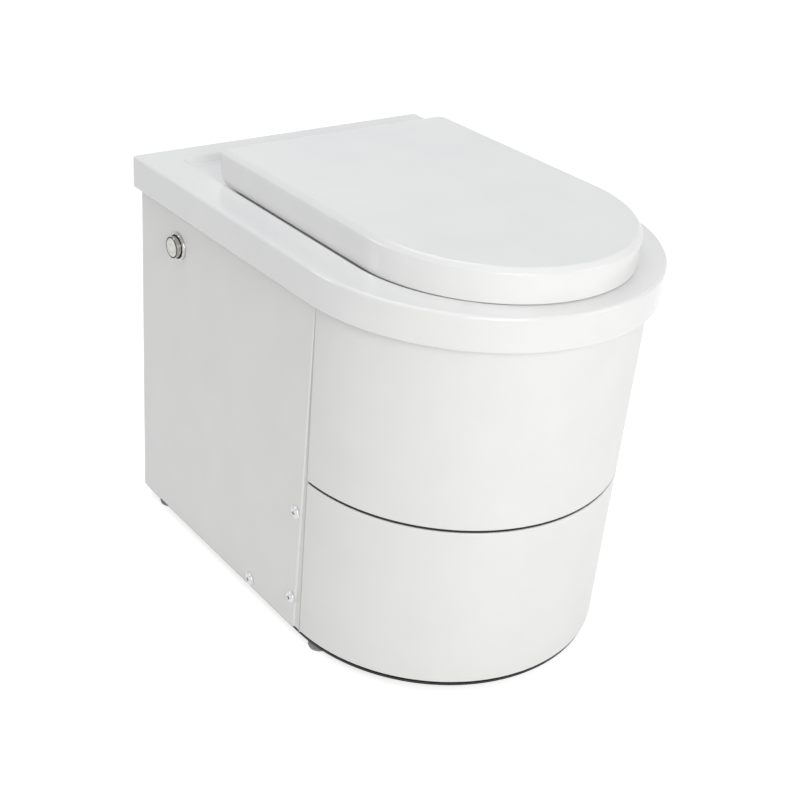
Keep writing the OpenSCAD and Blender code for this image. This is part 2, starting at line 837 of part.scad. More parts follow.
module heating_element() {
    y1 = chamber_y1 - element_inset;
    color("darkslategray") {
        for (i = [0:element_turns - 1]) element_turn(element_z(i));
        for (i = [0:element_turns - 2]) {
            x = element_ends[(i + 1) % 2];
            translate([x, y1, element_z(i)]) cylinder(r = rod_r, h = element_pitch);
            for (z = [element_z(i), element_z(i + 1)]) translate([x, y1, z]) sphere(rod_r);
        }
        for (i = [0, 1]) {
            z = element_z(i * (element_turns - 1));
            translate([element_ends[i], y1, z]) sphere(rod_r);
            rod_y(rod_r, y1, casing_y1 + 6, element_ends[i], z);
            rod_y(rod_r + 3, casing_y1, casing_y1 + 10, element_ends[i], z);
            rod_y(1.5, casing_y1 + 10, casing_y1 + 18, element_ends[i], z);
        }
    }
}

// Temperature probe through the chamber's rear wall, with a hexagon and a terminal head
module temperature_probe() {
    color("silver") {
        rod_y(3, chamber_y1 - 18, casing_y1, probe_x, exhaust_z);
        rod_y(6, casing_y1, casing_y1 + 8, probe_x, exhaust_z);
        rod_y(8, casing_y1 + 8, casing_y1 + 24, probe_x, exhaust_z);
    }
}

catalyst_y0 = casing_y1;
catalyst_y1 = fan_y - 70;

module catalyst_housing() {
    color("silver")
        difference() {
            union() {
                rod_y(exhaust_r + 6, catalyst_y0, catalyst_y1, exhaust_x, exhaust_z);
                for (y = [catalyst_y0, catalyst_y1 - 3])
                    rod_y(exhaust_r + 12, y, y + 3, exhaust_x, exhaust_z);
            }
            rod_y(exhaust_r + 4, catalyst_y0 + 3, catalyst_y1 - 3, exhaust_x, exhaust_z);
            exhaust_port(catalyst_y0 - 1, catalyst_y1 + 1);
        }
}

// Honeycomb block with a grid of square channels
module catalyst_core() {
    cell = 9;
    wall = 2;
    y0 = catalyst_y0 + 8;
    y1 = catalyst_y1 - 8;
    color("darkkhaki")
        difference() {
            rod_y(exhaust_r + 3.7, y0, y1, exhaust_x, exhaust_z);
            for (i = [-2:2], k = [-2:2])
                if (i * i + k * k < 8)
                    translate([exhaust_x + i * (cell + wall) - cell / 2, y0 - 1,
                        exhaust_z + k * (cell + wall) - cell / 2])
                        cube([cell, y1 - y0 + 2, cell]);
        }
}

// Sheet box that turns the gas from the catalyst into the blower's eye
module suction_box() {
    x1 = -fan_w / 2;
    z0 = exhaust_z - exhaust_r - 14;
    z1 = fan_z + impeller_r + 4;
    y1 = fan_y + impeller_r + 4;
    color("silver")
        difference() {
            block(suction_x0, x1, catalyst_y1, y1, z0, z1);
            block(suction_x0 + 2, x1 - 2, catalyst_y1 + 2, y1 - 2, z0 + 2, z1 - 2);
            exhaust_port(catalyst_y1 - 1, catalyst_y1 + 3);
            rod_x(eye_r, x1 - 3, x1 + 1, fan_y, fan_z);
        }
}

eye_r = impeller_r - 16;
scroll_outlet_h = 64;

// Scroll housing: a drum round the impeller with a square outlet towards the rear panel
module blower_housing() {
    x0 = -fan_w / 2;
    x1 = fan_w / 2;
    top = fan_z + scroll_r;
    color("gray")
        difference() {
            union() {
                rod_x(scroll_r, x0, x1, fan_y, fan_z);
                block(x0, x1, fan_y, outlet_plate_y, top - scroll_outlet_h, top);
            }
            rod_x(scroll_r - 2, x0 + 2, x1 - 2, fan_y, fan_z);
            block(x0 + 2, x1 - 2, fan_y, outlet_plate_y + 1, top - scroll_outlet_h + 2, top - 2);
            rod_x(eye_r, x0 - 1, x0 + 3, fan_y, fan_z);
            rod_x(motor_boss_r, x1 - 3, x1 + 1, fan_y, fan_z);
        }
}

outlet_plate_y = straight_l - sheet_t - 4;
motor_boss_r = 12;
motor_shaft_r = 4;
shaft_reach = 40;

// Impeller: back plate, hub, front ring and forward-leaning blades, on the motor's shaft
module blower_impeller() {
    x0 = -fan_w / 2 + 8;
    x1 = fan_w / 2 - 8;
    color("lightsteelblue") {
        rod_x(impeller_r, x1 - 2, x1, fan_y, fan_z);
        rod_x(10, x1 - 16, x1 + 4, fan_y, fan_z);
        rod_x(motor_shaft_r, x1 - 18, fan_w / 2 + shaft_reach, fan_y, fan_z);
        difference() {
            rod_x(impeller_r, x0, x0 + 2, fan_y, fan_z);
            rod_x(eye_r, x0 - 1, x0 + 3, fan_y, fan_z);
        }
        for (i = [0:blades - 1])
            translate([x0 + 1, fan_y, fan_z])
                rotate([i * 360 / blades, 0, 0])
                    translate([0, eye_r + 3, -1])
                        rotate([28, 0, 0]) cube([x1 - x0 - 2, 13, 1.5]);
    }
}

module blower_motor() {
    x = fan_w / 2;
    color("dimgray")
        difference() {
            union() {
                rod_x(motor_boss_r + 22, x, x + 3, fan_y, fan_z);
                rod_x(motor_boss_r + 20, x + 3, x + 48, fan_y, fan_z);
                rod_x(motor_boss_r, x + 48, x + 54, fan_y, fan_z);
            }
            rod_x(motor_boss_r - 2, x - 1, x + 2, fan_y, fan_z);
            rod_x(motor_shaft_r + pin_clear, x, x + shaft_reach + 0.2, fan_y, fan_z);
        }
}

// Flue collar: square plate inside the rear panel and a round spigot that the flue pipe slides over
module flue_collar() {
    plate = flue_r + 8;
    wall = 2;
    color("silver")
        difference() {
            union() {
                block(-plate, plate, outlet_plate_y, straight_l - sheet_t, flue_z - plate, flue_z + plate);
                rod_y(flue_r - 2, straight_l - sheet_t - 1, straight_l + 2, 0, flue_z);
                rod_y(flue_r, straight_l + 0.5, rear_end, 0, flue_z);
            }
            rod_y(flue_r - 2 - wall, outlet_plate_y + 2, rear_end + 1, 0, flue_z);
            block(-fan_w / 2 + 2, fan_w / 2 - 2, outlet_plate_y - 1, outlet_plate_y + 3,
                fan_z + scroll_r - scroll_outlet_h + 2, fan_z + scroll_r - 2);
        }
}

control_y0 = straight_l - 130;
control_x = [70, 176];
control_rise = 90;
control_h = 70;
control_z = [shelf_z + control_rise, shelf_z + control_rise + control_h];

// Closed control box hung on the rear panel's inside
module control_box() {
    color("lightgray")
        difference() {
            block(control_x[0], control_x[1], control_y0, straight_l - sheet_t, control_z[0], control_z[1]);
            block(control_x[0] + 2.5, control_x[1] - 2.5, control_y0 + 2.5, straight_l - sheet_t - 2.5,
                control_z[0] + 2.5, control_z[1] - 2.5);
        }
}

module control_board() {
    z = control_z[0] + 8;
    color("darkgreen") {
        block(control_x[0] + 6, control_x[1] - 6, control_y0 + 6, straight_l - 12, z, z + 1.6);
        block(control_x[0] + 14, control_x[0] + 44, control_y0 + 14, control_y0 + 48, z + 1.6, z + 28);
        for (i = [0:2])
            block(control_x[0] + 52, control_x[0] + 70, control_y0 + 14 + i * 28, control_y0 + 34 + i * 28,
                z + 1.6, z + 18);
        for (x = [control_x[0] + 9, control_x[1] - 9], y = [control_y0 + 9, straight_l - 15])
            translate([x, y, control_z[0] + 2.5]) cylinder(r = 2.5, h = z - control_z[0] - 2.5);
    }
}

// Power inlet: a moulded socket clipped into the rear panel, with three blades
module power_inlet() {
    color("black") {
        difference() {
            union() {
                block(inlet_x - inlet_hw - 3, inlet_x + inlet_hw + 3, straight_l, straight_l + 2.5,
                    inlet_z - inlet_hh - 3, inlet_z + inlet_hh + 3);
                block(inlet_x - inlet_hw + 0.3, inlet_x + inlet_hw - 0.3, straight_l - 22, straight_l,
                    inlet_z - inlet_hh + 0.3, inlet_z + inlet_hh - 0.3);
            }
            block(inlet_x - inlet_hw + 2.5, inlet_x + inlet_hw - 2.5, straight_l - 14, straight_l + 3,
                inlet_z - inlet_hh + 2.2, inlet_z + inlet_hh - 2.2);
        }
        for (x = [-7, 0, 7])
            block(inlet_x + x - 1, inlet_x + x + 1, straight_l - 15, straight_l - 1,
                inlet_z - 2, inlet_z + 2);
    }
}

barrel_r = cap_r + 1.5;
barrel_l = 24;
cap_clear = 0.1;

// Chrome bezel with the threaded barrel that passes through the side panel. Built for the right side
// and mirrored to the left.
module button_bezel() {
    color("silver")
        difference() {
            union() {
                rotate_about_x(button_y, button_z)
                    rotate_extrude()
                        polygon([[0, body_hw], [bezel_r, body_hw], [bezel_r, body_hw + 2.5],
                                 [bezel_r - 1.2, body_hw + 4], [bezel_r - 3, body_hw + 5],
                                 [0, body_hw + 5]]);
                rod_x(barrel_r, body_hw - barrel_l, body_hw + 0.01, button_y, button_z);
            }
            rod_x(cap_r + cap_clear, body_hw - barrel_l + 2, body_hw + 6, button_y, button_z);
            rod_x(stem_r + 0.5, body_hw - barrel_l - 1, body_hw, button_y, button_z);
        }
}

// Turns a solid of revolution made about Z so that its axis runs along X at the given place
module rotate_about_x(y, z) {
    translate([0, y, z]) rotate([0, 90, 0]) children();
}

module button_cap() {
    face = body_hw + cap_out;
    color("silver")
        difference() {
            rotate_about_x(button_y, button_z)
                rotate_extrude()
                    polygon([[0, face - 12], [cap_r, face - 12], [cap_r, face - 2.5],
                             [cap_r - 0.7, face - 1], [cap_r - 2.4, face - 0.2], [cap_r - 4, face],
                             [cap_r - 8, face - 0.2], [0, face - 0.6]]);
            difference() {
                rod_x(cap_r - 2.5, face - 13, face - 4, button_y, button_z);
                rod_x(stem_r, face - 13, face, button_y, button_z);
            }
        }
    color("silver")
        rod_x(stem_r, body_hw - barrel_l + button_travel + 0.3, face - 3, button_y, button_z);
}

stem_r = 3;

spring_r = cap_r - 4.5;
spring_wire = 0.9;
spring_x0 = body_hw - barrel_l + 2 + spring_wire + 0.1;
spring_x1 = body_hw + cap_out - 4 - spring_wire - 0.1;
spring_turns = 5;
spring_rings = 8;

// Coil spring between the barrel's floor and the cap, one swept wire
module button_spring() {
    n = spring_turns * spring_rings;
    sides = 6;
    points = [for (i = [0:n], s = [0:sides - 1])
        let (a = 360 * i / spring_rings, b = 360 * s / sides, r = spring_r + spring_wire * cos(b))
            [spring_x0 + (spring_x1 - spring_x0) * i / n + spring_wire * sin(b), r * cos(a), r * sin(a)]];
    walls = [for (i = [0:n - 1], s = [0:sides - 1])
        let (a = i * sides + s, b = i * sides + (s + 1) % sides)
            each [[a, a + sides, b], [b, a + sides, b + sides]]];
    caps = [for (s = [1:sides - 2]) each [[0, s, s + 1], [n * sides, n * sides + s + 1, n * sides + s]]];
    color("gray")
        translate([0, button_y, button_z]) polyhedron(points, [each walls, each caps]);
}

nut_t = 5;

module button_nut() {
    color("silver")
        difference() {
            rotate_about_x(button_y, button_z)
                translate([0, 0, body_hw - sheet_t - nut_t]) cylinder(r = barrel_r + 5, h = nut_t, $fn = 6);
            rod_x(barrel_r + 0.05, body_hw - 20, body_hw, button_y, button_z);
        }
}

// Switch block behind the barrel, worked by the cap's stem through the barrel's floor
module button_switch() {
    x1 = body_hw - barrel_l;
    color("black") {
        block(x1 - 22, x1, button_y - 10, button_y + 10, button_z - 8, button_z + 8);
        for (y = [-5, 5])
            block(x1 - 30, x1 - 21, button_y + y - 0.5, button_y + y + 0.5, button_z - 3, button_z + 3);
    }
}

arm_x = hinge_x - post_w / 2 - lug_gap - lug_w;
arm_t = 6;
seat_hollow = 8;
arm_z = seat_z + seat_hollow - arm_t;
arm_reach = 40;

// Seat ring with rounded edges, an eased hole, a hollow underside and notches for the hinge arms
module seat() {
    color("white")
        difference() {
            d_solid(seat_hw, seat_rear, round_edges(seat_z, seat_top, 3, 9), -lid_forward);
            stadium_solid(hole_r + 10, -lid_forward, -lid_forward + hole_straight, [
                [8, seat_z - 1], [10, seat_z + 4], [10, seat_z + seat_t * 0.55],
                [7, seat_top - 5], [3.5, seat_top - 1.8], [0, seat_top], [0, seat_top + 1]
            ]);
            both_sides()
                block(arm_x - 0.1, arm_x + lug_w + 0.1, seat_rear - 8, seat_rear + 1,
                    seat_z - 1, axis_z - 2);
            difference() {
                d_solid(seat_hw - 7, seat_rear - 7, [[0, seat_z - 1], [0, seat_z + seat_hollow]],
                    -lid_forward);
                stadium(hole_r + 8, -lid_forward, -lid_forward + hole_straight, seat_z - 2, seat_z + 12);
                for (p = seat_buffer_places)
                    translate([p[0], p[1], seat_z - 2]) cylinder(r = seat_buffer_r + 3.5, h = 14);
            }
        }
}

// Steel arms under the seat's rear end, which reach back to the hinge axis
module seat_hinge_arms() {
    color("silver")
        both_sides()
            difference() {
                union() {
                    rod_x(pin_r + 5, arm_x, arm_x + lug_w, axis_y, axis_z);
                    block(arm_x, arm_x + lug_w, seat_rear - 7, axis_y, axis_z - 9, axis_z - 2);
                    block(arm_x, arm_x + lug_w, seat_rear - 7, seat_rear, arm_z, axis_z - 2);
                    block(arm_x, arm_x + lug_w, seat_rear - arm_reach, seat_rear, arm_z, arm_z + arm_t);
                }
                rod_x(pin_r + pin_clear, arm_x - 1, arm_x + lug_w + 1, axis_y, axis_z);
            }
}

seat_buffer_r = 9.5;
seat_buffer_x = bowl_r + bowl_rim + seat_buffer_r + 6.5;
seat_buffer_places = [for (x = [-seat_buffer_x, seat_buffer_x], y = [-70, 150]) [x, y]];

module seat_buffers() {
    color("lightgray")
        for (p = seat_buffer_places)
            translate([p[0], p[1], deck_z])
                rotate_extrude()
                    polygon([[0, 0], [seat_buffer_r - 1, 0], [seat_buffer_r, 1.5],
                        [seat_buffer_r, seat_z - deck_z], [0, seat_z - deck_z]]);
}

// Slab lid: a shell that wraps over the seat, with a radiused rear end. Its edge rises towards the nose.
module lid() {
    nose_y = -lid_forward - lid_hw;
    color("white")
        difference() {
            d_solid(lid_hw, lid_rear, round_edges(lid_low, lid_top, 1.5, 6.5), -lid_forward,
                round_edges(lid_low, lid_top, 14, 12));
            d_solid(lid_hw - lid_t, lid_rear - lid_t,
                [[0, lid_low - 1], [0, lid_top - lid_t - 3], [3, lid_top - lid_t]], -lid_forward);
            side_plate(-lid_hw - 1, lid_hw + 1, [
                [nose_y - 1, lid_low - 1], [nose_y - 1, lid_z],
                [-lid_forward - lid_hw * 0.64, lid_z - lid_dip * 0.15],
                [-lid_forward - lid_hw * 0.13, lid_low], [-lid_forward - lid_hw * 0.13, lid_low - 1]
            ]);
            both_sides()
                block(hinge_x - post_w / 2 - 1, hinge_x + post_w / 2 + 1, axis_y, lid_rear + 1,
                    lid_low - 1, lid_top - lid_t);
        }
}

// Lugs under the lid's roof, outside the posts
module lid_hinge_lugs() {
    x = hinge_x + post_w / 2 + lug_gap;
    color("white")
        both_sides()
            difference() {
                union() {
                    rod_x(pin_r + 5, x, x + lug_w, axis_y, axis_z);
                    block(x, x + lug_w, axis_y - 10, axis_y + 10, axis_z, lid_top - lid_t);
                }
                rod_x(pin_r + pin_clear, x - 1, x + lug_w + 1, axis_y, axis_z);
            }
}

lid_buffer_places = [[-142, -60], [142, -60], [-142, 140], [142, 140]];

module lid_buffers() {
    h = lid_top - lid_t - seat_top;
    color("lightgray")
        for (p = lid_buffer_places)
            translate([p[0], p[1], seat_top])
                rotate_extrude() polygon([[0, 0], [6, 0], [7, 1.2], [7, h], [0, h]]);
}

// Hinge posts on the deck, each with a stud down through it
module hinge_posts() {
    color("white")
        both_sides()
            difference() {
                union() {
                    rod_x(pin_r + 6, hinge_x - post_w / 2, hinge_x + post_w / 2, axis_y, axis_z);
                    block(hinge_x - post_w / 2, hinge_x + post_w / 2, axis_y - 11, axis_y + 8,
                        deck_z, axis_z);
                    translate([hinge_x, axis_y, deck_z - 30]) cylinder(r = 4, h = 31);
                }
                rod_x(pin_r + 0.02, hinge_x - post_w, hinge_x + post_w, axis_y, axis_z);
            }
}

module hinge_pins() {
    reach = post_w / 2 + lug_gap + lug_w - 1;
    color("gray") both_sides() rod_x(pin_r, hinge_x - reach, hinge_x + reach, axis_y, axis_z);
}

module hinge_wing_nuts() {
    z1 = deck_z - cover_t;
    color("white")
        both_sides()
            translate([hinge_x, axis_y, 0])
                difference() {
                    union() {
                        translate([0, 0, z1 - 2]) cylinder(r = 11, h = 2);
                        translate([0, 0, z1 - 16]) cylinder(r = 7, h = 15);
                        for (a = [0, 180])
                            rotate([0, 0, a]) translate([5, -1.5, z1 - 16]) cube([11, 3, 10]);
                    }
                    translate([0, 0, z1 - 20]) cylinder(r = 4.05, h = 30);
                }
}

// Drawer tray: a shallow folded tray behind the ash door, which carries the pan and the slides
module drawer_tray() {
    z0 = pan_z - pan_t;
    y1 = chamber_y1 + 10;
    nose_r = body_hw - fold - 2;
    color("lightslategray")
        difference() {
            union() {
                block(-tray_hw, tray_hw, tray_front, y1, z0, z0 + pan_t);
                intersection() {
                    translate([0, 0, z0]) cylinder(r = nose_r, h = pan_t);
                    block(-tray_hw + 1, tray_hw - 1, -body_hw, tray_front + 1, z0, z0 + pan_t);
                }
                both_sides()
                    block(tray_hw - pan_t, tray_hw, tray_front, y1, z0, runner_z + runner_h);
                block(-tray_hw, tray_hw, y1 - pan_t, y1, z0, z0 + 24);
            }
            for (y = [-60, 0, 60]) translate([0, y, z0 - 1]) cylinder(r = 12, h = pan_t + 2);
        }
}

module ash_pan() {
    g = 2;
    wall_top = pan_z + pan_h;
    color("silver")
        difference() {
            union() {
                round_box(-chamber_hw + g, chamber_hw - g, chamber_y0 + g, chamber_y1 - g,
                    pan_z, wall_top, liner_corner - g);
                round_box(-chamber_hw - 6, chamber_hw + 6, chamber_y0 - 6, chamber_y1 + 4,
                    wall_top - 2, wall_top, liner_corner + 4);
            }
            round_box(-chamber_hw + g + pan_t, chamber_hw - g - pan_t,
                chamber_y0 + g + pan_t, chamber_y1 - g - pan_t,
                pan_z + pan_t, wall_top + 1, liner_corner - g - pan_t);
        }
}

// Moving slides on the tray's sides
module drawer_slides() {
    y1 = straight_l - 16;
    color("silver")
        both_sides() {
            block(tray_hw, tray_hw + 2, y1 - runner_l, y1, runner_z + 3, runner_z + runner_h - 3);
            block(tray_hw + 2, tray_hw + 9, y1 - runner_l, y1, runner_z + 12, runner_z + runner_h - 12);
        }
}

// Fixed channels that the slides run in, on the frames' inner faces
module runner_channels() {
    y1 = straight_l - 16;
    clear = 0.6;
    x0 = tray_hw + 2 + clear;
    x1 = frame_x - frame_t - 0.01;
    y0 = y1 - runner_l + 6;
    color("gray")
        both_sides()
            difference() {
                union() {
                    block(x0, x0 + 9, y0, y1, runner_z + 8, runner_z + runner_h - 8);
                    for (y = [panel_lean + sheet_t + 3, straight_l - fold - 30])
                        block(x0 + 8, x1, y, y + 20, runner_z + 8, runner_z + runner_h - 8);
                }
                block(x0 - 1, x0 + 7 + clear, y0 - 1, y1 + 1,
                    runner_z + 12 - clear, runner_z + runner_h - 12 + clear);
            }
}

module left() {
    mirror([1, 0, 0]) children();
}

place() top_cover();
place() left() side_panel(true);  // side_panel_left
place() side_panel(false);  // side_panel_right
place() rear_panel();
place() upper_front_panel();
place() base_plate();
place() levelling_feet();
place() foot_locknuts();
place() left() side_frame();  // frame_left
place() side_frame();  // frame_right
place() burner_shelf();
place() left() side_screws();  // side_screws_left
place() side_screws();  // side_screws_right
place() rear_screws();
place() bowl();
place() bowl_gasket();
place() hatch_chute();
place() hatch_bushes();
place() left() hatch_flap();  // hatch_flap_left
place() left() hatch_shaft(motor_y);  // hatch_shaft_left
place() left() sector_gear(0);  // hatch_gear_left
place() hatch_flap();  // hatch_flap_right
place() hatch_shaft(gear_y + gear_w + 3);  // hatch_shaft_right
place() sector_gear(0.5);  // hatch_gear_right
place() hatch_motor();
place() hatch_motor_bracket();
place() chamber_liner();
place() chamber_insulation();
place() chamber_casing();
place() heating_element();
place() temperature_probe();
place() catalyst_housing();
place() catalyst_core();
place() suction_box();
place() blower_housing();
place() blower_impeller();
place() blower_motor();
place() flue_collar();
place() control_box();
place() control_board();
place() power_inlet();
place() left() button_bezel();
place() left() button_cap();
place() left() button_spring();
place() left() button_nut();
place() left() button_switch();
place() seat();
place() seat_hinge_arms();
place() seat_buffers();
place() lid();
place() lid_hinge_lugs();
place() lid_buffers();
place() hinge_posts();
place() hinge_pins();
place() hinge_wing_nuts();
place() ash_door();
place() drawer_tray();
place() ash_pan();
place() drawer_slides();
place() runner_channels();
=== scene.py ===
import json
import math

import bmesh
import bpy
from mathutils import Matrix, Vector


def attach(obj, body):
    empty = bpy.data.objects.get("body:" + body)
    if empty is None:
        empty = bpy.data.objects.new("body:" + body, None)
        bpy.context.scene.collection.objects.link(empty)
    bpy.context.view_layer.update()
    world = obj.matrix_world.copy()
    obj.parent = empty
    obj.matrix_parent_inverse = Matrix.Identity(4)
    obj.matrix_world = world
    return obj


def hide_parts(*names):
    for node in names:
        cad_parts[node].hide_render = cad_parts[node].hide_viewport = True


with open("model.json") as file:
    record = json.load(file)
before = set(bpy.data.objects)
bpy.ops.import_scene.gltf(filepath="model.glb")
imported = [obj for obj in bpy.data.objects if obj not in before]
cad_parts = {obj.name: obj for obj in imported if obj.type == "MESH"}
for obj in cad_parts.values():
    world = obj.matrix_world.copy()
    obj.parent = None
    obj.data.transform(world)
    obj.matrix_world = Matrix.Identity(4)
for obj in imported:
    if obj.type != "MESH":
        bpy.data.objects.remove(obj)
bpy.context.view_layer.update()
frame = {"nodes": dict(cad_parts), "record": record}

MM = 0.001
NEAR = 0.01 * MM  # points closer than this count as one
NOSE = -112.5     # where the nose's centre lies along Y, in millimetres
ARC = 96          # steps round half the nose


# Camera, by its place and its three axes in the toilet's frame

CAMERA_PLACE = Vector((-0.99457, -1.17129, 1.08785))
CAMERA_RIGHT = Vector((0.78530361, -0.61318047, 0.0854866))
CAMERA_UP = Vector((0.24092722, 0.42986914, 0.87015321))
CAMERA_AHEAD = Vector((0.57030896, 0.66273843, -0.48530965))
FOCAL_LENGTH, SENSOR_WIDTH = 59.3, 36.0

camera_data = bpy.data.cameras.new("camera")
camera_data.lens = FOCAL_LENGTH
camera_data.sensor_width = SENSOR_WIDTH
camera = bpy.data.objects.new("camera", camera_data)
bpy.context.scene.collection.objects.link(camera)
bpy.context.scene.camera = camera
axes = Matrix((CAMERA_RIGHT, CAMERA_UP, -CAMERA_AHEAD)).transposed().to_4x4()
camera.matrix_world = Matrix.Translation(CAMERA_PLACE) @ axes


# Materials

def colour(code):
    """A display colour such as "E8E8EA", as Blender's linear values."""
    parts = [int(code[i:i + 2], 16) / 255 for i in (0, 2, 4)]
    return [c / 12.92 if c <= 0.04045 else ((c + 0.055) / 1.055) ** 2.4 for c in parts] + [1.0]


def node(owner, kind, inputs=(), **settings):
    """Adds a node to a material or world, sets its properties and fills its sockets."""
    made = owner.node_tree.nodes.new(kind)
    for key, value in settings.items():
        setattr(made, key, value)
    for key, value in dict(inputs).items():
        if isinstance(value, bpy.types.NodeSocket):
            owner.node_tree.links.new(value, made.inputs[key])
        else:
            made.inputs[key].default_value = value
    return made


def new_material(name):
    """A new material with Blender's usual shader."""
    material = bpy.data.materials.new(name)
    material.use_nodes = True
    return material


def finish_surface(material, colours, ends, rough, depth_mm, sockets, tone, relief, gloss=None):
    """Turns patterns into colour, bump and roughness; without gloss, the roughness is even."""
    shader = material.node_tree.nodes["Principled BSDF"]
    links = material.node_tree.links
    blend = node(material, "ShaderNodeValToRGB", {"Fac": tone})
    for element, end, code in zip(blend.color_ramp.elements, ends, colours):
        element.position = end
        element.color = colour(code)
    links.new(blend.outputs["Color"], shader.inputs["Base Color"])
    bump = node(material, "ShaderNodeBump",
                {"Height": relief, "Strength": 1.0, "Distance": depth_mm / 1000})
    links.new(bump.outputs["Normal"], shader.inputs["Normal"])
    if gloss:
        spread = node(material, "ShaderNodeMapRange",
                      {"Value": gloss, "To Min": rough[0], "To Max": rough[1]})
        links.new(spread.outputs["Result"], shader.inputs["Roughness"])
    else:
        shader.inputs["Roughness"].default_value = rough
    for socket, value in dict(sockets).items():
        shader.inputs[socket].default_value = value
    return material


def patterned(name, colours, rough, depth_mm, tone, relief, gloss=None, ends=(0.3, 0.7),
              stretch=(1, 1, 1), sockets=()):
    """A material whose colour, bump and roughness follow noise.

    tone, relief and gloss each give the size of the noise's lumps in millimetres and its detail.
    A stretch below 1 makes the lumps longer along that axis.
    """
    material = new_material(name)
    place = node(material, "ShaderNodeTexCoord").outputs["Object"]
    scaled = node(material, "ShaderNodeMapping", {"Vector": place, "Scale": stretch}).outputs["Vector"]
    fields = []
    for size_mm, detail in filter(None, (tone, relief, gloss)):
        lumps = node(material, "ShaderNodeTexNoise",
                     {"Vector": scaled, "Scale": 1000.0 / size_mm, "Detail": detail})
        fields.append(lumps.outputs["Fac"])
    return finish_surface(material, colours, ends, rough, depth_mm, sockets, *fields)


def moulded_white():
    """Glossy white moulding: a slow drift in tone, and a faint ripple that softens its reflections."""
    return patterned("moulded_white", ("EEEEEE", "F2F2F1"), (0.17, 0.22), 0.006,
                     tone=(90, 2), relief=(14, 1), gloss=(25, 4),
                     sockets={"Coat Weight": 0.35, "Coat Roughness": 0.08, "IOR": 1.5})


def painted_white():
    """White powder coat: fine orange peel, with a slightly uneven sheen."""
    return patterned("painted_white", ("EEEEEC", "F1F1EF"), (0.3, 0.4), 0.03,
                     tone=(70, 2), relief=(2.2, 2), gloss=(18, 4))


def dark_coat(name, low, high, rough):
    """Dark paint on castings and the base: fine grain with dusty lighter patches.

    The grain is drawn coarser than the real one, so that it shows.
    """
    return patterned(name, (low, high), (rough - 0.08, rough + 0.1), 0.04,
                     tone=(30, 5), relief=(1.2, 3), gloss=(9, 4), ends=(0.3, 0.75))


def brushed(name, low, high, rough, stretch=(1, 0.04, 1)):
    """Drawn or brushed metal: fine lines along one axis, in colour, sheen and bump.

    The lines are drawn wider than the real ones, so that they show.
    """
    lines = (0.8, 4)
    return patterned(name, (low, high), (rough - 0.06, rough + 0.08), 0.015,
                     tone=lines, relief=lines, gloss=lines, stretch=stretch,
                     sockets={"Metallic": 1.0})


def galvanised():
    """Zinc spangle: crystals about six millimetres wide that each catch the light differently."""
    material = new_material("galvanised")
    place = node(material, "ShaderNodeTexCoord").outputs["Object"]
    cells = node(material, "ShaderNodeTexVoronoi", {"Vector": place, "Scale": 160.0, "Randomness": 1.0})
    grey = node(material, "ShaderNodeSeparateColor", {"Color": cells.outputs["Color"]}).outputs["Red"]
    grain = node(material, "ShaderNodeTexNoise", {"Vector": place, "Scale": 1000.0 / 3, "Detail": 3})
    return finish_surface(material, ("8E9394", "B4B9BA"), (0.1, 0.9), (0.32, 0.5), 0.02,
                          {"Metallic": 1.0}, grey, grain.outputs["Fac"], grey)


def polished_chrome():
    """Bright plating with a soft haze and the faintest waviness."""
    return patterned("polished_chrome", ("AEADA8", "CBCAC6"), (0.05, 0.14), 0.006,
                     tone=(6, 3), relief=(5, 1), gloss=(4, 4), sockets={"Metallic": 1.0})


def heated_steel():
    """Element sheath: scaled steel with brown and blue-grey heat tint."""
    return patterned("heated_steel", ("2B2523", "5C4A40"), (0.5, 0.75), 0.08,
                     tone=(14, 5), relief=(1.5, 4), gloss=(4, 4), ends=(0.35, 0.75),
                     sockets={"Metallic": 0.7})


def matt_moulding(name, low, high, rough):
    """Matt plastic or rubber: fine spark-eroded grain with slight blotches.

    The grain is drawn coarser than the real one, so that it shows.
    """
    return patterned(name, (low, high), (rough - 0.07, rough + 0.07), 0.05,
                     tone=(12, 4), relief=(0.9, 2), gloss=(5, 3))


def fibre_blanket():
    """Ceramic-fibre blanket: matted threads, drawn thicker than real ones, and soft hollows."""
    threads = (1.4, 6)
    return patterned("fibre_blanket", ("CFC8B8", "F1ECDF"), 0.95, 0.6,
                     tone=threads, relief=threads, stretch=(1, 0.25, 1),
                     sockets={"Sheen Weight": 0.3})


def fired_clay():
    """Cordierite honeycomb: chalky, with pores drawn larger than real ones."""
    return patterned("fired_clay", ("B8AE96", "DAD1BB"), 0.9, 0.15, tone=(5, 6), relief=(0.7, 4))


FINISHES = {
    "white_moulding": moulded_white(),
    "white_paint": painted_white(),
    "black_paint": dark_coat("black_base_coat", "0B0B0C", "1B1B1C", 0.5),
    "dark_paint": dark_coat("motor_coat", "222326", "34353A", 0.45),
    "grey_plastic": matt_moulding("grey_moulding", "96989A", "AEB0B1", 0.5),
    "black_plastic": matt_moulding("black_moulding", "0E0E0F", "1C1C1E", 0.45),
    "board": matt_moulding("circuit_board", "12452A", "1E5E3B", 0.35),
    "galvanised": galvanised(),
    "stainless": brushed("brushed_stainless", "B3B3B1", "D2D2D0", 0.28),
    "zinc": brushed("zinc_plate", "B6B8BA", "D8D9DA", 0.3, (1, 1, 0.2)),
    "hot_steel": heated_steel(),
    "bronze": brushed("sintered_bronze", "8A6A3C", "B38E56", 0.42, (1, 1, 1)),
    "chrome": polished_chrome(),
    "aluminium": brushed("cast_aluminium", "A9ABAD", "C9CBCD", 0.4, (1, 1, 1)),
    "fibre": fibre_blanket(),
    "ceramic": fired_clay(),
    "rubber_grey": matt_moulding("grey_rubber", "9A9C9D", "ADAFB0", 0.7),
    "rubber_dark": matt_moulding("black_rubber", "141415", "222224", 0.75),
}

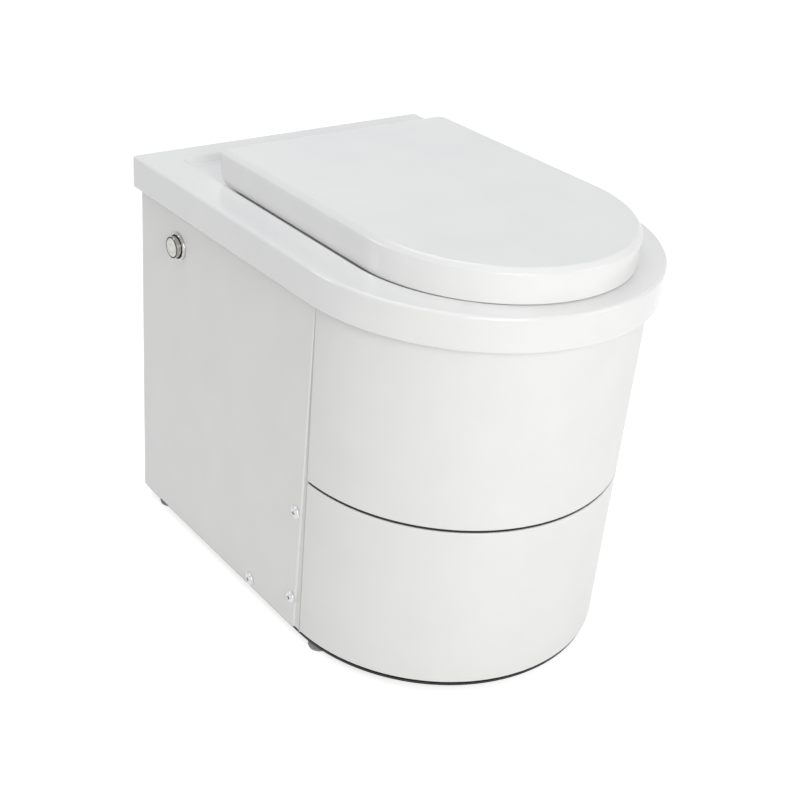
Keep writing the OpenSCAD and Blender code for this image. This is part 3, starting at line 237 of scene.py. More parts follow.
# The lips beside the front are of a paler rubber than the buffers, which take rubber_grey
PALE_RUBBER = matt_moulding("pale_rubber", "CFD0CF", "D8D8D7", 0.6)

slot_of = {s["node"]: s["material_slot"] for s in frame["record"]["subparts"]}
body_of = {n: b for b, ns in frame["record"]["behaviour"]["bodies"].items() for n in ns}
for name, piece in frame["nodes"].items():
    piece.data.materials.clear()
    piece.data.materials.append(FINISHES[slot_of[name]])


# Modelling helpers; sizes and places are in millimetres from the nose's centre

def spot(x, y, z):
    """A place in millimetres from the nose's centre, as metres in the toilet's frame."""
    return Vector((x * MM, (y + NOSE) * MM, z * MM))


def edit_mesh():
    """The mesh of the piece in edit mode."""
    return bmesh.from_edit_mesh(bpy.context.object.data)


def redraw():
    """Passes changes made in code on to the piece in edit mode."""
    bmesh.update_edit_mesh(bpy.context.object.data)


def only(piece):
    """Selects one piece and nothing else."""
    bpy.ops.object.select_all(action="DESELECT")
    piece.select_set(True)
    bpy.context.view_layer.objects.active = piece


def start_piece(name):
    """An empty piece at the origin, in edit mode, whose points can carry a loop's number."""
    bpy.ops.object.select_all(action="DESELECT")
    bpy.ops.mesh.primitive_plane_add(size=0.01)
    piece = bpy.context.object
    piece.name = name
    bpy.ops.object.mode_set(mode="EDIT")
    bpy.ops.mesh.select_mode(type="VERT")
    bpy.ops.mesh.select_all(action="SELECT")
    bpy.ops.mesh.delete(type="VERT")
    edit_mesh().verts.layers.int.new("loop")
    return piece


def pick(test):
    """Selects the points that the test holds for."""
    mesh = edit_mesh()
    layer = mesh.verts.layers.int["loop"]
    bpy.ops.mesh.select_mode(type="VERT")
    bpy.ops.mesh.select_all(action="DESELECT")
    for vert in mesh.verts:
        if test(vert, vert[layer]):
            vert.select_set(True)
    mesh.select_flush_mode()
    redraw()


def pick_loops(one, two):
    """Selects the edges of two loops, without those that join them."""
    bpy.ops.mesh.select_mode(type="EDGE")
    bpy.ops.mesh.select_all(action="DESELECT")
    mesh = edit_mesh()
    layer = mesh.verts.layers.int["loop"]
    for edge in mesh.edges:
        ends = {vert[layer] for vert in edge.verts}
        edge.select_set(ends == {one} or ends == {two})
    redraw()


def number_loop():
    """Numbers the points added since the last loop, and gives that number."""
    mesh = edit_mesh()
    layer = mesh.verts.layers.int["loop"]
    number = 1 + max(vert[layer] for vert in mesh.verts)
    for vert in mesh.verts:
        if vert[layer] == 0:
            vert[layer] = number
    return number


def d_loop(half, rear, centre, z, corner):
    """A D-shaped loop, its round end towards -Y, with rounded rear corners."""
    y = (centre + NOSE) * MM
    bpy.ops.mesh.primitive_circle_add(vertices=2 * ARC, radius=half * MM, location=(0, y, z * MM))
    pick(lambda vert, loop: loop == 0 and vert.co.y > y + NEAR)
    bpy.ops.mesh.delete(type="VERT")
    pick(lambda vert, loop: loop == 0 and abs(vert.co.y - y) < NEAR)
    bpy.ops.mesh.extrude_vertices_move(TRANSFORM_OT_translate={"value": (0, (rear - centre) * MM, 0)})
    bpy.ops.mesh.edge_face_add()
    bpy.ops.mesh.bevel(offset=corner * MM, segments=6, affect="VERTICES")
    return number_loop()


def long_loop(half, front, rear, z):
    """A loop with two round ends, centred at front and rear."""
    y = (front + NOSE) * MM
    bpy.ops.mesh.primitive_circle_add(vertices=2 * ARC, radius=half * MM, location=(0, y, z * MM))
    pick(lambda vert, loop: loop == 0 and vert.co.y > y + NEAR)
    bpy.ops.transform.translate(value=(0, (rear - front) * MM, 0))
    return number_loop()


def plate(one, two):
    """Fills the flat ring between an outer and an inner loop."""
    pick_loops(one, two)
    bpy.ops.mesh.fill(use_beauty=True)


def skin(loops):
    """Skins the gap between each loop and the next; two at one height bound a flat ring."""
    mesh = edit_mesh()
    layer = mesh.verts.layers.int["loop"]
    height = {vert[layer]: vert.co.z for vert in mesh.verts}
    for one, two in zip(loops, loops[1:]):
        if abs(height[one] - height[two]) < NEAR:
            plate(one, two)
        else:
            pick_loops(one, two)
            bpy.ops.mesh.bridge_edge_loops()


def close_loop(number):
    """Closes a loop with one face."""
    pick(lambda vert, loop: loop == number)
    bpy.ops.mesh.edge_face_add()


def draw_line(points, closed=False):
    """Draws a line through places by extruding a point along it, and leaves all of it selected."""
    places = [spot(*point) for point in points]
    bpy.ops.mesh.select_mode(type="VERT")
    bpy.ops.mesh.select_all(action="DESELECT")
    bpy.ops.mesh.primitive_plane_add(size=MM, location=places[0])
    bpy.ops.mesh.merge(type="CENTER")
    for start, end in zip(places, places[1:]):
        bpy.ops.mesh.extrude_vertices_move(TRANSFORM_OT_translate={"value": end - start})
    number = number_loop()
    if closed:
        ends = (places[0], places[-1])
        pick(lambda vert, loop: loop == number and min((vert.co - end).length for end in ends) < NEAR)
        bpy.ops.mesh.edge_face_add()
    pick(lambda vert, loop: loop == number)


def pull_outline(points, shift):
    """Draws a closed outline, fills it and pulls the face out into a solid bar."""
    draw_line(points, closed=True)
    bpy.ops.mesh.edge_face_add()
    bpy.ops.mesh.extrude_region_move(TRANSFORM_OT_translate={"value": [way * MM for way in shift]})


def turn_line(points, centre, axis, steps, sweep=360, closed=False):
    """Draws a line and spins it about an axis through a centre."""
    draw_line(points, closed)
    bpy.ops.mesh.spin(steps=steps, angle=math.radians(sweep), center=spot(*centre), axis=axis)


def turn_upright(profile, x, y, steps, sweep=360, closed=False):
    """Turns a profile of radii and heights about an upright axis."""
    turn_line([(x + radius, y, z) for radius, z in profile], (x, y, 0), (0, 0, 1), steps, sweep, closed)


def arc_points(x, y, wide, tall, start, end, steps=6):
    """Points round an arc of an ellipse, both ends included, from one angle in degrees to another."""
    turns = [math.radians(start + (end - start) * i / steps) for i in range(steps + 1)]
    return [(x + wide * math.cos(turn), y + tall * math.sin(turn)) for turn in turns]


def merge_doubles():
    """Merges the points of the whole piece that lie in one place."""
    bpy.ops.mesh.select_all(action="SELECT")
    bpy.ops.mesh.remove_doubles(threshold=NEAR)
    bpy.ops.mesh.select_all(action="SELECT")


def close_piece(piece):
    """Merges doubles, points the faces outwards and leaves edit mode."""
    bpy.ops.mesh.select_mode(type="VERT")
    merge_doubles()
    bpy.ops.mesh.normals_make_consistent(inside=False)
    bpy.ops.object.mode_set(mode="OBJECT")


def finish_piece(piece, body, slot, nodes=(), angle=35):
    """Shades the piece, gives it its finish, and puts it in the nodes' place on a body."""
    if piece.mode == "EDIT":
        close_piece(piece)
    only(piece)
    for name in ("loop", "UVMap"):
        if name in piece.data.attributes:
            piece.data.attributes.remove(piece.data.attributes[name])
    bpy.ops.object.shade_smooth_by_angle(angle=math.radians(angle))
    bpy.ops.object.modifier_add(type="WEIGHTED_NORMAL")
    piece.modifiers[-1].keep_sharp = True
    bpy.ops.object.modifier_apply(modifier=piece.modifiers[-1].name)
    piece.data.materials.clear()
    piece.data.materials.append(FINISHES[slot])
    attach(piece, body)
    if nodes:
        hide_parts(*nodes)


def dress(piece, node_name):
    """Finishes a piece that stands for one node."""
    finish_piece(piece, body_of[node_name], slot_of[node_name], (node_name,))


def cut_with(piece, cutter):
    """Cuts one closed solid out of another."""
    only(piece)
    bpy.ops.object.modifier_add(type="BOOLEAN")
    step = piece.modifiers[-1]
    step.operation = "DIFFERENCE"
    step.solver = "EXACT"
    step.object = cutter
    bpy.ops.object.modifier_apply(modifier=step.name)
    bpy.data.objects.remove(cutter)


def cut_boxes(piece, boxes):
    """Cuts boxes, each given by two corners, out of a piece."""
    for low, high in boxes:
        bpy.ops.object.select_all(action="DESELECT")
        bpy.ops.mesh.primitive_cube_add(size=1, location=(spot(*low) + spot(*high)) / 2)
        cutter = bpy.context.object
        cutter.scale = spot(*high) - spot(*low)
        bpy.ops.object.transform_apply(location=True, rotation=False, scale=True)
        cut_with(piece, cutter)


def both_sides(low, high):
    """A box on the right, given by two corners, and its mirror on the left."""
    return [(low, high), ((-high[0], *low[1:]), (-low[0], *high[1:]))]


def cut_round(piece, radius, start, end, steps=48):
    """Drills a round hole between two places."""
    a, b = spot(*start), spot(*end)
    bpy.ops.object.select_all(action="DESELECT")
    bpy.ops.mesh.primitive_cylinder_add(vertices=steps, radius=radius * MM, depth=(b - a).length)
    cutter = bpy.context.object
    cutter.rotation_euler = (b - a).to_track_quat("Z", "Y").to_euler()
    cutter.location = (a + b) / 2
    bpy.ops.object.transform_apply(location=True, rotation=True, scale=False)
    cut_with(piece, cutter)


def join_all(pieces, name):
    """Joins pieces into the first of them."""
    bpy.ops.object.select_all(action="DESELECT")
    for piece in pieces:
        piece.select_set(True)
    bpy.context.view_layer.objects.active = pieces[0]
    bpy.ops.object.join()
    pieces[0].name = name
    return pieces[0]


def set_out(master, name, places, turn):
    """Copies a master standing at the origin to each place, turned, and joins the copies."""
    made = []
    for place in places:
        only(master)
        bpy.ops.object.duplicate()
        made.append(bpy.context.object)
        made[-1].rotation_euler = [math.radians(a) for a in turn]
        made[-1].location = spot(*place)
        bpy.ops.object.transform_apply(location=True, rotation=True, scale=False)
    return join_all(made, name)


def inset_at(z, low, high, foot, head):
    """How far a wall with a rounded foot and head stands in at a height."""
    if z < low + foot:
        rise = low + foot - z
        return foot - math.sqrt(max(foot ** 2 - rise ** 2, 0))
    if z > high - head:
        rise = z - high + head
        return head - math.sqrt(max(head ** 2 - rise ** 2, 0))
    return 0.0


def levels_of(low, high, *roundings, drops=()):
    """Heights that follow a wall's roundings in even turns, and those at given drops from its top."""
    closest = 0.08
    heights = {low, high}
    for foot, head in roundings:
        for i in range(7):
            turn = math.radians(15 * i)
            heights.add(low + foot * (1 - math.cos(turn)))
            heights.add(high - head * (1 - math.sin(turn)))
    heights.update(high - drop for drop in drops)
    ordered = []
    for z in sorted(heights):
        if not ordered or z - ordered[-1] > closest:
            ordered.append(z)
    ordered[-1] = high
    return ordered


# Cover

BODY_HALF = 218.0
COVER_HALF, COVER_REAR, COVER_TOP = 230.5, 396.0, 516.0
COVER_CORNER, COVER_INNER_CORNER = 4.0, 1.5
SKIRT_FOOT, DECK, COVER_WALL = 474.5, 508.0, 4.0
SKIRT_ROUND, SHOULDER_ROUND = 1.5, 4.0
DISH_HALF, DISH_REAR, DISH_CENTRE, DISH_CORNER = 182.0, 363.0, -18.5, 12
BOWL_HOLE = (122, -45, 15)  # half width and the centres of its round ends
POST_X, POST_Y, POST_HOLE = 85, 256, 4.5
RIB_WIDTH = 3
RIB_PLACES = (DISH_REAR - 60, DISH_REAR - 130)


def make_cover():
    """Moulded cover: lipped skirt, rounded shoulder, flat rim and the dish round the lid."""
    cover = start_piece("cover_moulding")
    under = DECK - COVER_WALL
    inside = ((COVER_WALL, under), (COVER_WALL, SKIRT_FOOT + 1.2),
              (3.6, SKIRT_FOOT + 0.4), (3.0, SKIRT_FOOT))
    loops = [d_loop(COVER_HALF - step, COVER_REAR - step, 0, z, COVER_INNER_CORNER) for step, z in inside]
    for z in levels_of(SKIRT_FOOT, COVER_TOP, (SKIRT_ROUND, SHOULDER_ROUND)):
        step = inset_at(z, SKIRT_FOOT, COVER_TOP, SKIRT_ROUND, SHOULDER_ROUND)
        corner = max(COVER_CORNER - step, COVER_INNER_CORNER)
        loops.append(d_loop(COVER_HALF - step, COVER_REAR - step, 0, z, corner))
    skin(loops)
    slope = ((0, 0, COVER_TOP), (0.25, 0.9, COVER_TOP - 0.06), (0.7, 2.4, COVER_TOP - 0.35),
             (1.1, 3.8, COVER_TOP - 0.95), (3.6, 10.4, DECK + 1.2), (4.2, 12.4, DECK + 0.4),
             (5.2, 15, DECK + 0.05), (5.8, 17, DECK))
    dish = [d_loop(DISH_HALF - side, DISH_REAR - back, DISH_CENTRE, z, DISH_CORNER - side)
            for side, back, z in slope]
    skin(dish)
    hole = [long_loop(*BOWL_HOLE, DECK), long_loop(*BOWL_HOLE, under)]
    skin(hole)
    plate(loops[-1], dish[0])
    plate(dish[-1], hole[0])
    plate(loops[0], hole[1])
    close_piece(cover)
    for x in (-POST_X, POST_X):
        cut_round(cover, POST_HOLE, (x, POST_Y, under - 4), (x, POST_Y, DECK + 4))
    ribs = []
    outline = ((138, 0), (215, 0), (215, -6), (211, -10), (142, -10), (138, -6))
    for side in (-1, 1):
        for y in RIB_PLACES:
            rib = start_piece("rib")
            pull_outline([(side * x, y, under + z) for x, z in outline], (0, RIB_WIDTH, 0))
            close_piece(rib)
            ribs.append(rib)
    dress(join_all([cover] + ribs, "cover_moulding"), "top_cover")


# Lid and seat

LID_HALF, LID_REAR, LID_CENTRE = 176.0, 275.0, -27.5
LID_LOW, LID_TOP, LID_CORNER, LID_INNER_CORNER = 514.2, 557.0, 7, 4
LID_SIDE_ROUND, LID_REAR_ROUND = (1.5, 6.5), (18.0, 12.0)  # at the foot and at the head
EDGE_RISE, RISE_TOP, RISE_START = 2.6, 530, -50
LID_EASE = ((0, 8.0), (0.12, 6.8), (0.45, 5.8), (1.0, 4.95), (1.6, 4.2),
            (4.8, 1.0), (5.4, 0.5), (6.2, 0.12), (7.0, 0))

SEAT_HALF, SEAT_REAR, SEAT_LOW, SEAT_TOP = 169.5, 230.0, 514.0, 540.0
SEAT_HOLLOW, SEAT_WALL = SEAT_LOW + 8, 7.5
SEAT_ROUND = (3.0, 9.0)  # at the foot and at the head
SEAT_CORNER, SEAT_INNER_CORNER, SEAT_HOLE_LENGTH = 12, 6, 68
BUFFER_PLACES = [(x, y) for x in (-146, 146) for y in (-70, 150)]


def ease_at(below):
    """Inset of the lid's upper edge: a flat ease between two small roundings."""
    for (a, inset_a), (b, inset_b) in zip(LID_EASE, LID_EASE[1:]):
        if below <= b:
            return inset_a + (inset_b - inset_a) * (below - a) / (b - a)
    return 0.0


def make_lid():
    """Slab lid: hollow, wrapped over the seat, with its lower edge rising towards the nose."""
    lid = start_piece("lid_slab")
    loops = []
    inside = ((7, LID_TOP - 4), (4.9, 551.6), (4, 548.5), (4, 545), (4, LID_LOW + 14),
              (4, LID_LOW + 6), (4, LID_LOW + 1.0))
    for step, z in inside:
        back = inset_at(z, LID_LOW, LID_TOP, *LID_REAR_ROUND)
        loops.append(d_loop(LID_HALF - step, LID_REAR - step - back * 0.9, LID_CENTRE, z, LID_INNER_CORNER))
    back = inset_at(LID_LOW, LID_LOW, LID_TOP, *LID_REAR_ROUND)
    loops.append(d_loop(LID_HALF - 3.2, LID_REAR - 3.2 - back, LID_CENTRE, LID_LOW + 0.1, LID_INNER_CORNER))
    drops = [3.2] + [below for below, step in LID_EASE]
    for z in levels_of(LID_LOW, LID_TOP, LID_SIDE_ROUND, LID_REAR_ROUND, drops=drops):
        step = inset_at(z, LID_LOW, LID_TOP, LID_SIDE_ROUND[0], 0.01) + ease_at(LID_TOP - z)
        back = inset_at(z, LID_LOW, LID_TOP, *LID_REAR_ROUND)
        loops.append(d_loop(LID_HALF - step, LID_REAR - back, LID_CENTRE, z, LID_CORNER))
    skin(loops)
    close_loop(loops[0])
    close_loop(loops[-1])
    nose = LID_CENTRE - LID_HALF
    for vert in edit_mesh().verts:
        y, z = vert.co.y / MM - NOSE, vert.co.z / MM
        if z < RISE_TOP and y < RISE_START:
            along = min((RISE_START - y) / (RISE_START - nose), 1)
            down = min((RISE_TOP - z) / (RISE_TOP - LID_LOW), 1)
            vert.co.z += EDGE_RISE * MM * down * along * (1.5 - along * 0.5)
    redraw()
    close_piece(lid)
    posts = both_sides((72, 248, 505), (98, 280, 552.9))
    arms = both_sides((58.8, 248, 505), (73, 280, 525))
    cut_boxes(lid, posts + arms)
    dress(lid, "lid")


def make_seat():
    """Seat ring with a soft upper edge, an eased hole, and bosses over its buffers."""
    seat = start_piece("seat_ring")
    outer = [d_loop(SEAT_HALF - SEAT_WALL, SEAT_REAR - SEAT_WALL, LID_CENTRE, z, SEAT_INNER_CORNER)
             for z in (SEAT_HOLLOW, SEAT_LOW)]
    for z in levels_of(SEAT_LOW, SEAT_TOP, SEAT_ROUND):
        step = inset_at(z, SEAT_LOW, SEAT_TOP, *SEAT_ROUND)
        outer.append(d_loop(SEAT_HALF - step, SEAT_REAR - step, LID_CENTRE, z, SEAT_CORNER - step))
    skin(outer)
    hole = ((122.5, SEAT_TOP), (120.5, SEAT_TOP - 0.1), (118.5, SEAT_TOP - 0.5), (116.3, SEAT_TOP - 1.7),
            (113.2, SEAT_TOP - 4.8), (110.8, SEAT_TOP - 9), (110.0, SEAT_TOP - 13),
            (110.0, SEAT_LOW + 4), (110.8, SEAT_LOW + 1.2), (112, SEAT_LOW + 0.2),
            (113, SEAT_LOW), (118, SEAT_LOW), (118, SEAT_HOLLOW))
    inner = [long_loop(half, LID_CENTRE, LID_CENTRE + SEAT_HOLE_LENGTH, z) for half, z in hole]
    skin(inner)
    plate(outer[-1], inner[0])
    plate(outer[0], inner[-1])
    close_piece(seat)
    cut_boxes(seat, both_sides((59.5, 221, 505), (72.5, 235, 536.1)))
    bosses = []
    profile = ((0, SEAT_HOLLOW + 1), (13, SEAT_HOLLOW + 1), (12.5, SEAT_LOW + 0.6), (12, SEAT_LOW),
               (0, SEAT_LOW))
    for x, y in BUFFER_PLACES:
        boss = start_piece("boss")
        turn_upright(profile, x, y, 40)
        close_piece(boss)
        bosses.append(boss)
    dress(join_all([seat] + bosses, "seat_ring"), "seat")


# Sheet panels

PANEL_FOOT, PANEL_TOP, PANEL_REAR, SHEET = 16.0, 503.8, 392.0, 2.0
PANEL_HEIGHT = PANEL_TOP - PANEL_FOOT
LEAN, BEND = 7.5, 2.5                # of the side panels' front edges
STRIP_FOOT, STRIP_HEAD = -6.2, -0.5  # front of the strip in the joint, low and high
SIDE_SCREWS = ((16, 58), (16, 186), (110, 26))
SCREW_HOLE, BUTTON_HOLE = 2.8, 15.6
BUTTON = (300, 425)
ROLL, RETURN_RADIUS = 1.8, 200
DOOR_FOOT, DOOR_TOP, UPPER_FOOT = 18.4, 238.25, 241.75


def slide_top(start, end, shift):
    """Moves the points of a panel's top that lie between two places along Y."""
    low, high = spot(0, start, 0).y, spot(0, end, 0).y
    middle = (PANEL_FOOT + PANEL_TOP) / 2 * MM
    pick(lambda vert, loop: vert.co.z > middle and low < vert.co.y < high)
    bpy.ops.transform.translate(value=(0, shift * MM, 0))


def make_side_panel(side, name, node_name):
    """Folded side panel: a leaning front edge with a round bend, a strip in the joint and a return."""
    panel = start_piece(name)
    bend, strip, fold, hem = BODY_HALF - BEND, BODY_HALF - BEND - SHEET, 199.5, -9
    plan = [(BODY_HALF, PANEL_REAR), (BODY_HALF, LEAN + BEND)]
    plan += arc_points(bend, LEAN + BEND, BEND, BEND, 0, -90, 5)
    plan += [(bend, STRIP_FOOT), (strip, STRIP_FOOT), (strip, LEAN), (fold, LEAN), (fold, hem),
             (fold - SHEET, hem), (fold - SHEET, LEAN + SHEET), (bend, LEAN + SHEET),
             (BODY_HALF - SHEET, LEAN + BEND), (BODY_HALF - SHEET, PANEL_REAR)]
    pull_outline([(side * x, y, PANEL_FOOT) for x, y in plan], (0, 0, PANEL_HEIGHT))
    slide_top(LEAN - 1, LEAN + 4, -LEAN)
    slide_top(STRIP_FOOT - 0.1, STRIP_FOOT + 0.1, STRIP_HEAD - STRIP_FOOT)
    close_piece(panel)
    low, high = sorted((side * 210, side * 222))
    cut_boxes(panel, [((low, 389, 474.3), (high, 395, 510))])
    for y, z in SIDE_SCREWS:
        cut_round(panel, SCREW_HOLE, (side * 210, y, z), (side * 222, y, z), 24)
    if side < 0:
        cut_round(panel, BUTTON_HOLE, (side * 210, *BUTTON), (side * 222, *BUTTON), 64)
    dress(panel, node_name)


def make_joint_lip(side, name):
    """Pale rubber lip on the joint's strip, beside the edges of the front."""
    lip = start_piece(name)
    plan = ((215.4, -3.4), (215.4, -6.2), (216.8, -6.2), (217.2, -5.8), (217.2, -3.8), (216.8, -3.4))
    lean = 5.8
    pull_outline([(side * x, y, PANEL_FOOT + 0.4) for x, y in plan], (0, lean, PANEL_HEIGHT))
    finish_piece(lip, "cabinet", "rubber_grey")
    lip.data.materials[0] = PALE_RUBBER


def half_ring(wall, place, facing):
    """Turns a closed profile half round the nose, and cuts its ends off along a plane."""
    turn_upright(wall, 0, 0, ARC, 180, closed=True)
    merge_doubles()
    bpy.ops.mesh.bisect(plane_co=place, plane_no=facing, use_fill=True, clear_outer=True)


def make_front(name, node_name, low, high, gap, relief, extras=()):
    """Curved front: rolled edges, returns all round, and side edges that draw back towards the foot."""
    front = start_piece(name)
    wall = [(RETURN_RADIUS, low)] + arc_points(BODY_HALF - ROLL, low + ROLL, ROLL, ROLL, -90, 0)
    wall += arc_points(BODY_HALF - ROLL, high - ROLL, ROLL, ROLL, 0, 90) + [(RETURN_RADIUS, high)]
    half_ring(wall, spot(0, -gap, high), Vector((0, high - low, -relief)).normalized())
    close_piece(front)
    bpy.ops.object.select_all(action="DESELECT")
    bpy.ops.mesh.primitive_cylinder_add(vertices=2 * ARC, radius=(BODY_HALF - SHEET) * MM,
                                        depth=(high - low - 2 * SHEET) * MM,
                                        location=spot(0, 0, (low + high) / 2))
    cutter = bpy.context.object
    bpy.ops.object.mode_set(mode="EDIT")
    bpy.ops.mesh.select_all(action="SELECT")
    bpy.ops.mesh.bisect(plane_co=spot(0, -gap - relief - SHEET, 0), plane_no=(0, 1, 0),
                        use_fill=True, clear_outer=True)
    bpy.ops.object.mode_set(mode="OBJECT")
    bpy.ops.object.transform_apply(location=True, rotation=False, scale=False)
    cut_with(front, cutter)
    dress(join_all([front, *extras], name), node_name)


def make_seam_shade_strip():
    """Black rubber strip on the door's top return: painted shade, which darkens the seam between door and
    upper front.
    """
    seal = start_piece("seam_shade_strip")
    half_ring([(205, 238.3), (216, 238.3), (216.5, 238.8), (216.5, 241), (216, 241.5), (205, 241.5)],
              spot(0, -6, 240), (0, 1, 0))
    finish_piece(seal, "ash_drawer", "rubber_dark")


def make_upright(side, low, high):
    """Folded upright behind the door, which carries the tray."""
    upright = start_piece("upright")
    plan = ((162, -116.1), (182, -116.1), (182, -114.1), (164, -114.1), (164, -108), (162, -108))
    pull_outline([(side * x, y, low) for x, y in plan], (0, 0, high - low))
    close_piece(upright)
    return upright


# Screws, button and feet

REAR_SCREWS = [(x, 394, z) for x in (-206, 206) for z in (46, 259.9, 454.5)]
CROSS_HALF, CROSS_ARM = 3.0, 0.75
FOOT_PLACES = [(x, y, 0) for x in (-199, 199) for y in (-24, 354)]


def make_screws():
    """Pan-head screws with a flange and a cross recess, modelled once and set out along the panels."""
    head = start_piece("pan_head")
    profile = [(0, 0), (9.3, 0), (9.5, 0.2), (9.5, 0.7), (9.2, 1.0), (8.2, 1.1)]
    profile += arc_points(3, 1.3, 4.8, 2.3, 0, 90) + [(1.5, 3.62), (0, 3.63)]
    turn_upright(profile, 0, -NOSE, 48)
    close_piece(head)
    for x, y in ((CROSS_HALF, CROSS_ARM), (CROSS_ARM, CROSS_HALF)):
        cut_boxes(head, [((-x, -NOSE - y, 2.0), (x, -NOSE + y, 5))])
    left = [(-BODY_HALF, y, z) for y, z in SIDE_SCREWS]
    right = [(BODY_HALF, y, z) for y, z in SIDE_SCREWS]
    dress(set_out(head, "screws_left", left, (0, -90, 0)), "side_screws_left")
    dress(set_out(head, "screws_right", right, (0, 90, 0)), "side_screws_right")
    dress(set_out(head, "screws_rear", REAR_SCREWS, (-90, 0, 0)), "rear_screws")
    bpy.data.objects.remove(head)


def turn_button(name, profile, closed=True):
    """A ring or cap turned about the button's axis, its profile as ways out and radii."""
    piece = start_piece(name)
    turn_line([(-BODY_HALF - out, BUTTON[0], BUTTON[1] + radius) for out, radius in profile],
              (-BODY_HALF, *BUTTON), (1, 0, 0), 96, closed=closed)
    return piece


def make_button():
    """Chrome push button: stepped bezel, a black ring painted as the shade in the gap, and a dished cap
    with a rounded rim.
    """
    bezel = turn_button("bezel_ring", [
        (-3, 15.5), (2.6, 15.5), (3.2, 15.65), (3.5, 16.0), (3.5, 16.4), (3.2, 16.8), (2.6, 16.95),
        (2.4, 17.2), (2.3, 17.8), (2.0, 18.3), (1.5, 18.5), (0, 18.5)])
    dress(bezel, "button_bezel")
    # Black ring down in the gap between bezel and cap: painted shade that darkens the gap
    gap = turn_button("bezel_gap_shade", [
        (-2, 14.15), (1.8, 14.15), (2.2, 14.4), (2.2, 15.1), (1.8, 15.4), (-2, 15.4)])
    finish_piece(gap, "cabinet", "black_plastic")
    cap = turn_button("cap_shell", [
        (-1.5, 0), (-1.5, 13.9), (9.2, 13.9), (9.4, 13.7), (9.42, 13.0), (9.42, 12.2), (9.9, 12.15),
        (10.1, 12.0), (10.35, 11.6), (10.48, 10.9), (10.5, 10.2), (10.4, 8.4), (10.2, 5.5),
        (10.05, 2.5), (10, 0)], closed=False)
    dress(cap, "button_cap")
    ring = turn_button("cap_ring", [
        (9.44, 12.25), (9.44, 13.5), (9.6, 13.75), (9.95, 13.65), (10.2, 13.2), (10.3, 12.7),
        (10.2, 12.25)])
    finish_piece(ring, "start_button", "black_plastic")


def make_feet():
    """Levelling feet: ribbed pads on studs."""
    foot = start_piece("foot")
    profile = [(0, 0), (12.4, 0), (13, 0.5), (13, 1.6), (12.6, 2.2)]
    for z in (2.9, 5.5, 8.1):
        profile += [(12, z), (13.7, z + 0.3), (14, z + 0.7), (13.7, z + 1.1), (12, z + 1.4)]
    profile += [(7, 10.4), (7, 12), (4, 12), (4, 19.5), (0, 19.5)]
    turn_upright(profile, 0, -NOSE, 64)
    close_piece(foot)
    feet = set_out(foot, "feet", FOOT_PLACES, (0, 0, 0))
    finish_piece(feet, body_of["levelling_feet"], "grey_plastic", ("levelling_feet",), 25)
    bpy.data.objects.remove(foot)


make_cover()
make_lid()
make_seat()
make_side_panel(-1, "panel_left", "side_panel_left")
make_side_panel(1, "panel_right", "side_panel_right")
make_front("front_upper", "upper_front_panel", UPPER_FOOT, PANEL_TOP, gap=1, relief=3)
uprights = [make_upright(side, 22, DOOR_TOP - SHEET) for side in (-1, 1)]
make_front("front_door", "ash_door", DOOR_FOOT, DOOR_TOP, gap=4.2, relief=2.6, extras=uprights)
make_seam_shade_strip()
make_joint_lip(-1, "joint_lip_left")
make_joint_lip(1, "joint_lip_right")
make_screws()
make_button()
make_feet()


# Floor, world and lamps

FLOOR_WIDTH = 14
FLOOR_LIFT = 0.66    # glow that brings the lit floor up to white
EVEN_LIGHT = 0.39    # strength of the world as the object's light
LAMPS = (
    ("key", (-0.95, -2.5, 1.5), (0, -0.1, 0.3), 1.8, 36, (1, 0.99, 0.975)),
    ("fill", (1.6, -2.2, 1.3), (0, -0.1, 0.3), 1.4, 8, (1, 0.995, 0.985)),
    ("top", (-0.2, 0.6, 2.8), (0, 0, 0.45), 1.6, 14, (0.93, 0.96, 1)),
    ("side", (-1.5, 1.1, 1.5), (-0.2, 0.1, 0.45), 0.5, 4, (0.99, 0.99, 1)),
)


def seen_share(owner):
    """A socket that is 1 for the camera, reflections and views through glass, and 0 for light."""
    sees = node(owner, "ShaderNodeLightPath").outputs
    seen = node(owner, "ShaderNodeMath", {0: sees["Is Camera Ray"], 1: sees["Is Glossy Ray"]},
                operation="MAXIMUM")
    return node(owner, "ShaderNodeMath", {0: seen.outputs[0], 1: sees["Is Transmission Ray"]},
                operation="MAXIMUM").outputs[0]


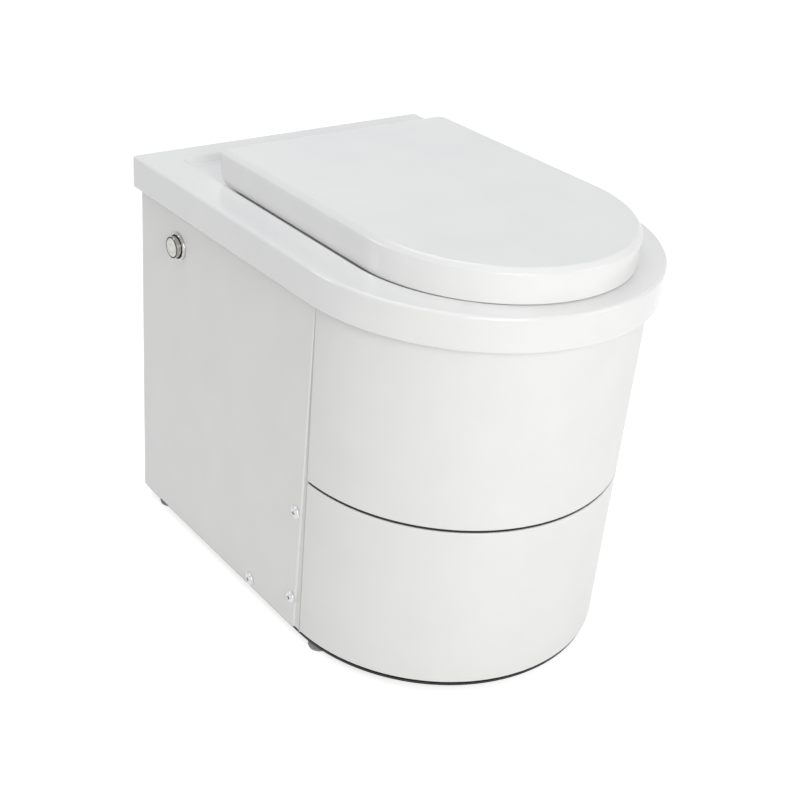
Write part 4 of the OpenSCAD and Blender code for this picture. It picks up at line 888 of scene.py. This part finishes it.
def studio_floor():
    """Pale matt floor that the camera and reflections see as white paper, with the shadow kept."""
    material = new_material("floor_paper")
    shader = material.node_tree.nodes["Principled BSDF"]
    shader.inputs["Base Color"].default_value = colour("E4E4E4")
    shader.inputs["Roughness"].default_value = 0.9
    shader.inputs["Specular IOR Level"].default_value = 0.1
    lift = node(material, "ShaderNodeMath", {0: seen_share(material), 1: FLOOR_LIFT}, operation="MULTIPLY")
    glow = node(material, "ShaderNodeEmission", {"Color": (1, 1, 1, 1), "Strength": lift.outputs[0]})
    both = node(material, "ShaderNodeAddShader", {0: shader.outputs["BSDF"], 1: glow.outputs["Emission"]})
    end = material.node_tree.nodes["Material Output"]
    material.node_tree.links.new(both.outputs["Shader"], end.inputs["Surface"])
    return material


def studio_world():
    """World that lights the object evenly and shows as white behind it and in its reflections."""
    world = bpy.data.worlds.new("studio")
    world.use_nodes = True
    even = world.node_tree.nodes["Background"]
    even.inputs["Color"].default_value = (0.985, 0.99, 1, 1)
    even.inputs["Strength"].default_value = EVEN_LIGHT
    white = node(world, "ShaderNodeBackground", {"Color": (1, 1, 1, 1), "Strength": 1.0})
    both = node(world, "ShaderNodeMixShader", {
        "Fac": seen_share(world), 1: even.outputs["Background"], 2: white.outputs["Background"]})
    end = world.node_tree.nodes["World Output"]
    world.node_tree.links.new(both.outputs["Shader"], end.inputs["Surface"])
    return world


def soft_lamp(name, place, aim, size, watts, tint):
    """A round soft lamp at a place, turned towards what it lights."""
    data = bpy.data.lights.new(name, "AREA")
    data.shape = "DISK"
    data.size = size
    data.energy = watts
    data.color = tint
    lamp = bpy.data.objects.new(name, data)
    bpy.context.scene.collection.objects.link(lamp)
    lamp.location = place
    lamp.rotation_mode = "QUATERNION"
    lamp.rotation_quaternion = (Vector(aim) - Vector(place)).to_track_quat("-Z", "Y")


bpy.ops.object.select_all(action="DESELECT")
bpy.ops.mesh.primitive_plane_add(size=FLOOR_WIDTH, location=(0, 0, 0))
floor = bpy.context.object
floor.name = "floor"
floor.data.materials.append(studio_floor())
bpy.context.scene.world = studio_world()
for lamp in LAMPS:
    soft_lamp(*lamp)

bpy.context.scene.view_settings.view_transform = "Standard"
